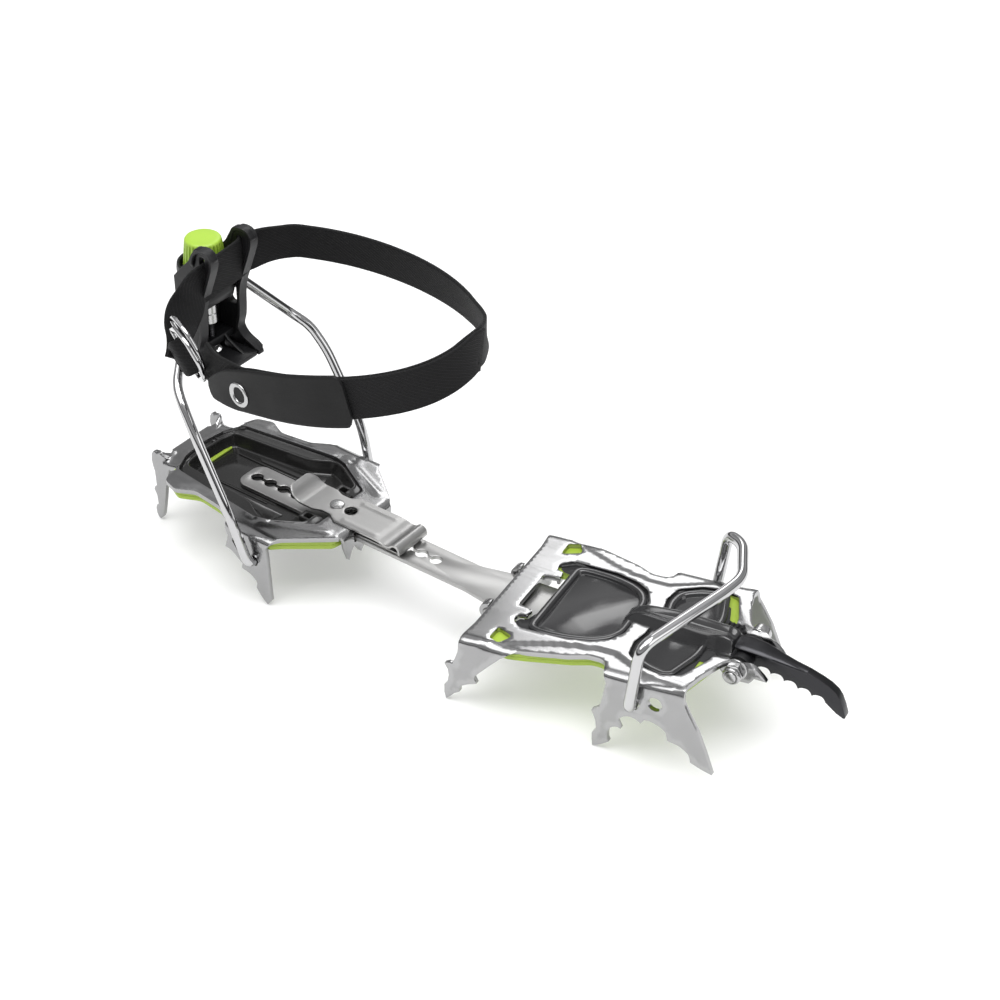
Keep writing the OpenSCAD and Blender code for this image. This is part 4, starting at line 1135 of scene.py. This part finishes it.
# ---- front cover -------------------------------------------------------------------
cover_a = [(31.2, -23.4, 4), (38, -25, 4), (50, -24.4, 9), (60.5, -21.8, 8), (67, -18, 4), (70.8, -11.6, 3)]
cover_b = [(80.1, -9.4, 3), (78.5, -16, 3), (79.9, -24, 4), (88.3, -29.2, 6), (97, -31, 5), (101, -29.6, 3),
    (106, -14, 4)]


def dished(half):
    """Rings of a window's panel: a rounded rim proud of a gently dished middle. Steps are (in, height)."""
    sections = [(0.0, -2.7), (0.0, -0.9), (0.2, -0.5), (0.7, -0.25), (1.5, -0.15), (2.4, -0.25),
        (2.9, -0.5), (3.2, -1.0), (3.4, -1.7), (3.7, -2.0), (4.4, -2.1), (5.2, -2.1)]
    return [[(p.x, p.y, z) for p in eased(inset(half + flip(half), d), 8)] for d, z in sections]


cover = Piece(FRONT, SMOKE)
cover.skin(dished(cover_a))
cover.skin(dished(cover_b))
under = [(31.3, -11.5), (29.6, -13.4), (28.6, -17.4, 1), (25.4, -18.2, 1), (24.2, -21.4, 2),
    (29.1, -26.1, 4), (50, -25.5, 9), (61, -22.9, 8), (68.2, -18.8, 4), (71.9, -12.2, 3), (71.9, 12.2, 3),
    (68.2, 18.8, 4), (61, 22.9, 8), (50, 25.5, 9), (29.1, 26.1, 4), (24.2, 21.4, 2), (27, 19.4),
    (31.3, 18.4)]
cover.slab(rounded(under), -2.25, -1.9, bevel=0.1)
under = [(79.2, -9), (77.2, -16, 3), (78.6, -24.7, 4), (87.8, -30.4, 6), (97, -32.1, 5), (104.6, -29.8, 3),
    (107.8, -22), (106.6, -20.6), (106.6, -15.2), (110.8, -15), (110.8, 13), (107, 15), (104, 23),
    (98.6, 26.6), (95.6, 32), (87.8, 30.4, 6), (78.6, 24.7, 4), (77.2, 16, 3), (79.2, 9)]
cover.slab(rounded(under), -2.25, -1.9, bevel=0.1)
# the ridge over the bridge: place along it, near and far crest, and share of its height
stations = [(66.5, -0.6, 4.8, 0.25), (69, -0.7, 5.0, 0.6), (72.5, -0.8, 5.2, 0.88), (76, -1.0, 5.5, 1.0),
    (83, -1.6, 6.4, 1.0), (90, -2.2, 6.9, 1.0), (99, -2.9, 6.4, 1.0), (108.5, -2.7, 5.6, 1.0),
    (112.5, -2.6, 5.4, 0.95), (115.4, -2.5, 5.2, 0.75), (116.6, -2.4, 5.0, 0.35)]
rings = []
for u, near, far, k in spline([list(s) for s in stations], 5):
    mid = (near + far) / 2
    sec = [(near - 4.6, -1.9), (near - 2.9, 0.4), (near - 1.0, 3.1), (near, 3.85), (near + 1.2, 3.2),
        (mid, 2.2), (far - 2.2, 2.6), (far - 0.6, 3.35), (far + 0.5, 3.0), (far + 1.9, 0.7),
        (far + 2.8, -1.9)]
    line = spline([list(p) for p in sec], 4)
    rings.append([(u, v, -1.9 + (z + 1.9) * k) for v, z in line])
cover.skin(rings, smooth=60)
cover.done("front_cover", "front", ["front_abs_cover"], 50)

block = Piece(FRONT, BLACK)
block.slab(rounded([(107, 4.2, 1.2), (116.4, 4.2, 1.2), (116.4, 11.0, 1.5), (107, 11.0, 1.5)]), -2, 0.6)
for u in [108.3 + 2.2 * k for k in range(4)]:
    block.slab(box(u, u + 0.9, 8.0, 10.6, 0.3), 0.5, 1.3, bevel=0.2)
block.done("front_cover_block", "front")

# ---- forward point -----------------------------------------------------------------
BOLT_AXIS = shifted(FRONT, BOLT_U, 0, BOLT_W) @ ALONG_Y
scallops = []
tips = [(126.4, -8.7), (132.2, -10.4), (138.0, -12.3), (144.1, -14.3), (150.1, -16.1), (156.1, -17.8)]
hollow = [(0.0, 0.0), (0.5, 0.5), (1.6, 0.95), (3.2, 1.05), (4.4, 0.7), (5.2, -0.1), (5.6, -1.0)]
for (u0, w0), (u1, w1) in zip(tips, tips[1:]):
    scallops += [(u0 + du, w0 + dw) for du, dw in hollow] + [(u1 - 0.1, w1 + 0.05)]
blade = [(104, -4), (117.2, -0.6), (118, 0.4), (127, 0.4), (134, -0.95), (141, -2.75), (148.5, -5),
    (153.4, -7.0), (157.6, -9.1), (160.6, -11.6), (162.2, -14.2), (163.5, -18), (164.6, -22.6),
    (164.4, -23.5), (163.6, -23.6), (160.6, -21.9), (158.0, -19.6)]
blade += [*reversed(scallops), (125.8, -9.4), (112, -9.6), (104, -9.6)]
point = Piece(FRONT, DARK_STEEL)
point.slab(blade, -1.95, 1.95, FRONT @ SIDE, holes=[circle(2.6, 40, BOLT_U, BOLT_W)], bevel=0.45,
    segments=3)
hood = [(-1, -0.5), (-1, 0.1), (-0.88, 0.42), (-0.6, 0.5), (0, 0.62), (0.6, 0.5), (0.88, 0.42), (1, 0.1),
    (1, -0.5), (0.7, -0.5), (-0.7, -0.5)]
rings = []
for u, h, z, t in spline([[117.5, 4.4, 1.1, 1.5], [120.4, 4.9, 1.15, 1.6], [124, 4.8, 0.7, 1.6],
        [129, 4.5, -0.1, 1.5], [136, 3.4, -2.1, 1.35], [143, 2.4, -3.95, 1.2], [148, 2.0, -5.1, 0.9]], 4):
    rings.append([(u, s * h, z + q * t - 0.25 * abs(s) ** 3) for s, q in hood])
point.skin(rings, smooth=45)
point.done("forward_point", "front", ["front_point"])

bolt = Piece(BOLT_AXIS, FASTENER)
bolt.slab(circle(2.5), -17.6, 12.0, bevel=0.35)
bolt.turned([(4.0, 11.7), (4.2, 11.9), (4.2, 13.4)])
bolt.slab(circle(4.2), 13.2, 16.2, holes=[circle(2.3, 6)], segments=3)
bolt.done("cross_bolt", "front", ["point_bolt"])
nut = Piece(BOLT_AXIS, FASTENER)
nut.slab(circle(4.6, 6), -15.3, -11.7, holes=[circle(2.5)], bevel=0.45, segments=3)
nut.slab(circle(3.9), -17.1, -15.2, holes=[circle(2.5)], bevel=0.7, segments=4)
nut.done("cross_bolt_nut", "front", ["point_nut"])
washers = Piece(BOLT_AXIS, FASTENER)
for z in (10.65, -11.65):
    washers.slab(circle(4.9), z, z + 1, holes=[circle(2.6)], bevel=0.25)
washers.done("cross_bolt_washers", "front", ["point_washers"])
spacers = Piece(BOLT_AXIS, BLACK)
for z in (2.07, -8.27):
    spacers.slab(circle(4.2), z, z + 6.2, holes=[circle(2.6)], bevel=0.6, segments=3)
for z in (7.25, -8.25):
    spacers.slab(circle(4.35), z, z + 1.0, holes=[circle(2.7)], bevel=0.3)
spacers.done("point_spacer_rings", "front", ["point_spacers"])

# ---- centre bar --------------------------------------------------------------------
def turned(x, y):
    """A point in the front section's plan, seen from the heel section's."""
    c, s = math.cos(TURN_ANGLE), math.sin(TURN_ANGLE)
    return TURN_X + x * c - y * s, x * s + y * c


HOLES, HOLE_STEP, HOLE_R, FIRST_HOLE, SLIT = 14, 8, 2.8, -126.9, 0.8
BAR_HALF, T_HALF = 8.5, 11.2
bar_outline = rounded([(-133, BAR_Y - BAR_HALF, 5.5), (-0.5, BAR_Y - BAR_HALF, 9), (*turned(5, -T_HALF), 9),
    (*turned(31, -T_HALF), 2.5), (*turned(31, T_HALF), 2.5), (*turned(5, T_HALF), 9),
    (-4.0, BAR_Y + BAR_HALF, 9), (-133, BAR_Y + BAR_HALF, 5.5)], 10)
slit = math.degrees(math.asin(SLIT / HOLE_R))
chain = []
for k in range(HOLES):
    start, end = 180 if k == 0 else 180 - slit, 0 if k == HOLES - 1 else slit
    chain += arc((FIRST_HOLE + HOLE_STEP * k, BAR_Y), HOLE_R, start, end, 14)
for k in reversed(range(HOLES)):
    start, end = 0 if k == HOLES - 1 else -slit, -180 if k == 0 else slit - 180
    pts = arc((FIRST_HOLE + HOLE_STEP * k, BAR_Y), HOLE_R, start, end, 14)
    # the first and last points are already there
    chain += pts[1:] if k == HOLES - 1 else pts[:-1] if k == 0 else pts
bar = Piece(HEEL, SATIN)
bar.slab(bar_outline, -6.2, -4.2, holes=[chain], bevel=0.35, segments=3)
for side in (-1, 1):
    horn = [(1.5, side * 9.2), (2.1, side * 9.8), (2.1, side * 16.8), (1.9, side * 17.2),
        (1.5, side * 17.4)]
    bar.turned(horn, shifted(FRONT, 9, 0, -4.4) @ ALONG_Y, n=48)
bar.done("centre_bar_forging", "bar", ["center_bar"])

# ---- spring clip -------------------------------------------------------------------
PIN_X, LEAF_T = -78.9, 0.9
RIVET_X, RIVET_YS = -67.5, (-5.5, 5.5)
clip_axis = [(-101.4, 5.4), (-99, 4.1)] + arc((-91.5, 9.7), 9.1, 228, 266, 8) + [(-86, 0.62), (-50, 0.62),
    (-47.5, 0.45), (-45.6, -0.05), (-44, -0.35), (-42.5, -0.3)] + arc((-38.4, -1), 2.65, 156, -28, 16)
leaf_axis = arc((-38.4, -1), 2.65, -38, -90, 8) + [(-44, -3.65), (-73, -3.65)]


def along_axis(axis):
    """Bend function of a folded leaf: distance along its middle line and y -> point and normal."""
    pts = [Vector(p) for p in axis]
    run = [0.0]
    for a, b in zip(pts, pts[1:]):
        run.append(run[-1] + (b - a).length)
    tg = [(pts[min(i + 1, len(pts) - 1)] - pts[max(i - 1, 0)]).normalized() for i in range(len(pts))]

    def bend(s, y):
        s = min(max(s, 0.0), run[-1])
        i = next(k for k in range(1, len(run)) if s <= run[k] + 1e-9)
        t = (s - run[i - 1]) / (run[i] - run[i - 1])
        p, d = pts[i - 1].lerp(pts[i], t), tg[i - 1].lerp(tg[i], t).normalized()
        return (p.x, BAR_Y + y, p.y), (-d.y, 0, d.x)

    def at(x):
        for i in range(1, len(pts)):
            if pts[i].x >= x:
                return run[i - 1] + (run[i] - run[i - 1]) * (x - pts[i - 1].x) / (pts[i].x - pts[i - 1].x)
        return run[-1]

    return bend, at, run[-1]


bend, at, end = along_axis(clip_axis)
plan = [(0, 0), (0, 6.2, 3.5), (at(-98.0), 8.8, 4), (at(-86), 8.8, 4), (at(-82.2), 7.2, 3),
    (at(-77), 7.2, 3), (at(-73), 9.9, 3), (end, 9.9, 0.4), (end, 0)]
clip_holes = [round_hole(at(PIN_X), 0, 2.6), round_hole(at(PIN_X + HOLE_STEP), 0, 3.1)]


def edge_beads(s, y):
    """A bead pressed along both edges of the leaf's flat stretch."""
    return 0.22 * math.exp(-((abs(y) - 7.2) / 0.9) ** 2) if at(-70) < s < at(-50) else 0.0


sheet("spring_clip_leaf", rounded(both(plan), 8), clip_holes, bend, LEAF_T, 1.0, HEEL, SATIN, "clip",
    ["spring_clip"], edge_beads, 0.22)
bend, _, end = along_axis(leaf_axis)
rivet_s = end - (73 + RIVET_X)
plan = [(0, 0), (0, 7.5, 0.4), (end, 7.5, 2.5), (end, 0)]
leaf_holes = [round_hole(rivet_s, y, 1.5) for y in RIVET_YS] + [round_hole(rivet_s + 3.4, 0, 2.9)]
sheet("spring_leaf_lower", rounded(both(plan), 6), leaf_holes, bend, LEAF_T, 1.1, HEEL, SATIN, "heel",
    ["clip_leaf"], None, 0.22)
lathe("locking_pin", [(2.2, -6.1), (2.6, -5.6), (2.6, 1.0), (3.3, 1.06), (3.4, 1.3), (3.25, 1.62),
    (2.7, 1.8), (1.4, 1.9), (0.4, 1.92)], shifted(HEEL, PIN_X, BAR_Y), FASTENER, "clip", ["clip_pin"], 64,
    40)
rivets = Piece(HEEL, FASTENER)
rivet = [(1.9, -3.45), (2.2, -3.2), (1.5, -3.1), (1.5, -0.1), (2.4, 0.0), (2.35, 0.12), (1.6, 0.16)]
for y in RIVET_YS:
    rivets.turned(rivet, shifted(HEEL, RIVET_X, BAR_Y + y), n=40)
rivets.done("leaf_rivet_pair", "heel", ["leaf_rivets"])

# ---- carriage, screw and nut -------------------------------------------------------
carriage = Piece(HEEL @ SIDE, BLACK)
block = [(-153.6, 81.8, 2.2), (-142.6, 81.8, 2.4), (-141.4, 86, 2.5), (-142.6, 91.2, 2.4),
    (-153.6, 91.2, 2.2)]
carriage.slab(rounded(block, 8), -9.4, 9.4, bevel=0.8, segments=3)
for y in (-6.4, 6.4):
    rib = rounded([(-153.6, 80.6, 0.8), (-146, 80.6, 0.8), (-143, 83, 0.8), (-153.6, 83, 0.8)])
    carriage.slab(rib, y - 0.9, y + 0.9, bevel=0.3)
carriage.done("carriage_block", "carriage", ["bail_carriage"])
SCREW_AXIS = shifted(HEEL, LEVER_X)
lathe("carriage_tube", [(2.1, 70.8), (3.45, 70.8), (3.7, 71.1), (3.7, 75.4), (3.5, 75.7), (3.7, 76.0),
    (3.7, 81.6), (3.5, 81.9), (2.1, 81.9)], SCREW_AXIS, FASTENER, "carriage", ["carriage_sleeve"], 64, 30)
# two start thread: its crests are 1 mm apart, so one turn climbs 2 mm
SCREW_Z, SCREW_LONG, SCREW_ROWS = 56.6, 41.9, 336
rings = []
for z in steps(SCREW_Z, SCREW_Z + SCREW_LONG, SCREW_ROWS - 1):
    depth = 0.2 if 58.2 < z < 97 else 0.0
    ring = []
    for x, y in circle(1, 28):
        r = 1.8 + depth * math.cos(2 * math.pi * z - 2 * math.atan2(y, x))
        ring.append((r * x, r * y, z))
    rings.append(ring)
skin("threaded_screw", rings, SCREW_AXIS, DARK_STEEL, "knob", ["adjust_screw"], 50)
nut = Piece(SCREW_AXIS, FASTENER)
nut.slab(circle(3.6, 6), 56.8, 59.3, holes=[circle(2.0)], bevel=0.35, segments=3)
nut.turned([(3.7, 59.2), (3.95, 59.35), (3.95, 59.6), (3.7, 59.8), (2.0, 59.8)])
nut.done("end_nut", "knob", ["screw_nut"])

# ---- stage -----------------------------------------------------------------------
FLOOR_TONE, WHITE = (0.62, 0.62, 0.62, 1), (1, 1, 1, 1)
floor = Nodes("floor_pale")
floor = floor.done(Base_Color=FLOOR_TONE, Roughness=0.9, Emission_Color=WHITE, Emission_Strength=0.36)
bpy.ops.mesh.primitive_plane_add(size=8, location=(0, 0, -0.0002))
bpy.context.object.name = "floor"
bpy.context.object.data.materials.append(floor)


def area(name, at, size, power, target=(0.0, 0.0, 0.03)):
    d = bpy.data.lights.new(name, "AREA")
    d.shape, d.size, d.size_y, d.energy = "RECTANGLE", size[0], size[1], power
    o = placed(name, d)
    o.location = at
    o.rotation_euler = (Vector(target) - Vector(at)).to_track_quat("-Z", "Y").to_euler()


area("top", (0.15, -0.1, 1.7), (1.3, 1.3), 27)
area("key", (-0.5, -0.9, 1.3), (0.9, 0.9), 7)
area("back", (-0.65, 1.05, 0.95), (0.42, 0.46), 2.1)
area("right", (1.3, 0.2, 0.7), (0.7, 0.9), 3.0)

# sky by height: a dark band above the horizon gives the steel its streaks
SKY = ((0.0, 0.5), (0.03, 0.06), (0.15, 0.06), (0.28, 0.6), (0.45, 0.34), (0.66, 0.40), (0.9, 0.8))
studio = bpy.data.worlds.new("studio")
bpy.context.scene.world = studio
studio.use_nodes = True
wt = studio.node_tree
split = wt.nodes.new("ShaderNodeSeparateXYZ")
wt.links.new(wt.nodes.new("ShaderNodeTexCoord").outputs["Generated"], split.inputs[0])
sky = wt.nodes.new("ShaderNodeValToRGB")
while len(sky.color_ramp.elements) < len(SKY):
    sky.color_ramp.elements.new(0.5)
for stop, (height, grey) in zip(sky.color_ramp.elements, SKY):
    stop.position, stop.color = height, (grey, grey, grey * 1.01, 1)
wt.links.new(split.outputs["Z"], sky.inputs["Fac"])
wt.links.new(sky.outputs["Color"], wt.nodes["Background"].inputs[0])
wt.nodes["Background"].inputs[1].default_value = 1.0
bpy.context.scene.view_settings.view_transform = "Standard"

# camera at the photograph's angle, aimed at the heel section's origin
az, el, dist = math.radians(37.17), math.radians(37.68), 974.8
aim = world(HEEL, (0, 0, 0))
back = Vector((math.sin(az) * math.cos(el), -math.cos(az) * math.cos(el), math.sin(el)))
# focal length in widths of the picture
SENSOR, FOCAL = 36, 2.2575
cam_data = bpy.data.cameras.new("camera")
cam_data.sensor_width, cam_data.lens = SENSOR, FOCAL * SENSOR
cam_data.shift_x, cam_data.shift_y = 0.022, 0.071
cam = placed("camera", cam_data)
cam.location = aim + back * dist * 0.001
cam.rotation_euler = (-back).to_track_quat("-Z", "Y").to_euler()
bpy.context.scene.camera = cam

# ---- the CAD nodes' own materials, for a node that no piece hides ---------------------
FINISHES = (
    (GREEN, "front_abs_base heel_abs_base"),
    (SMOKE, "front_abs_cover"),
    (DARK_STEEL, "front_point adjust_screw"),
    (FASTENER, "point_bolt point_nut point_washers clip_pin leaf_rivets"),
    (FASTENER, "carriage_sleeve screw_nut patch_grommet"),
    (BLACK, "point_spacers bail_carriage heel_lever"),
    (WIRE, "toe_bail ring_outer ring_inner heel_bail"),
    (SATIN, "center_bar clip_leaf spring_clip"),
    (TRAY, "heel_abs_tray"),
    (LIME, "adjust_knob"),
    (WEBBING, "ankle_strap strap_tail strap_loop"),
    (PATCH, "strap_patch"),
    (STEEL, "front_frame heel_frame"),
)
FINISH = {node: material for material, nodes in FINISHES for node in nodes.split()}
for name, ob in NODES.items():
    for i in range(max(1, len(ob.material_slots))):
        if ob.material_slots:
            ob.material_slots[i].material = FINISH[name]
        else:
            ob.data.materials.append(FINISH[name])
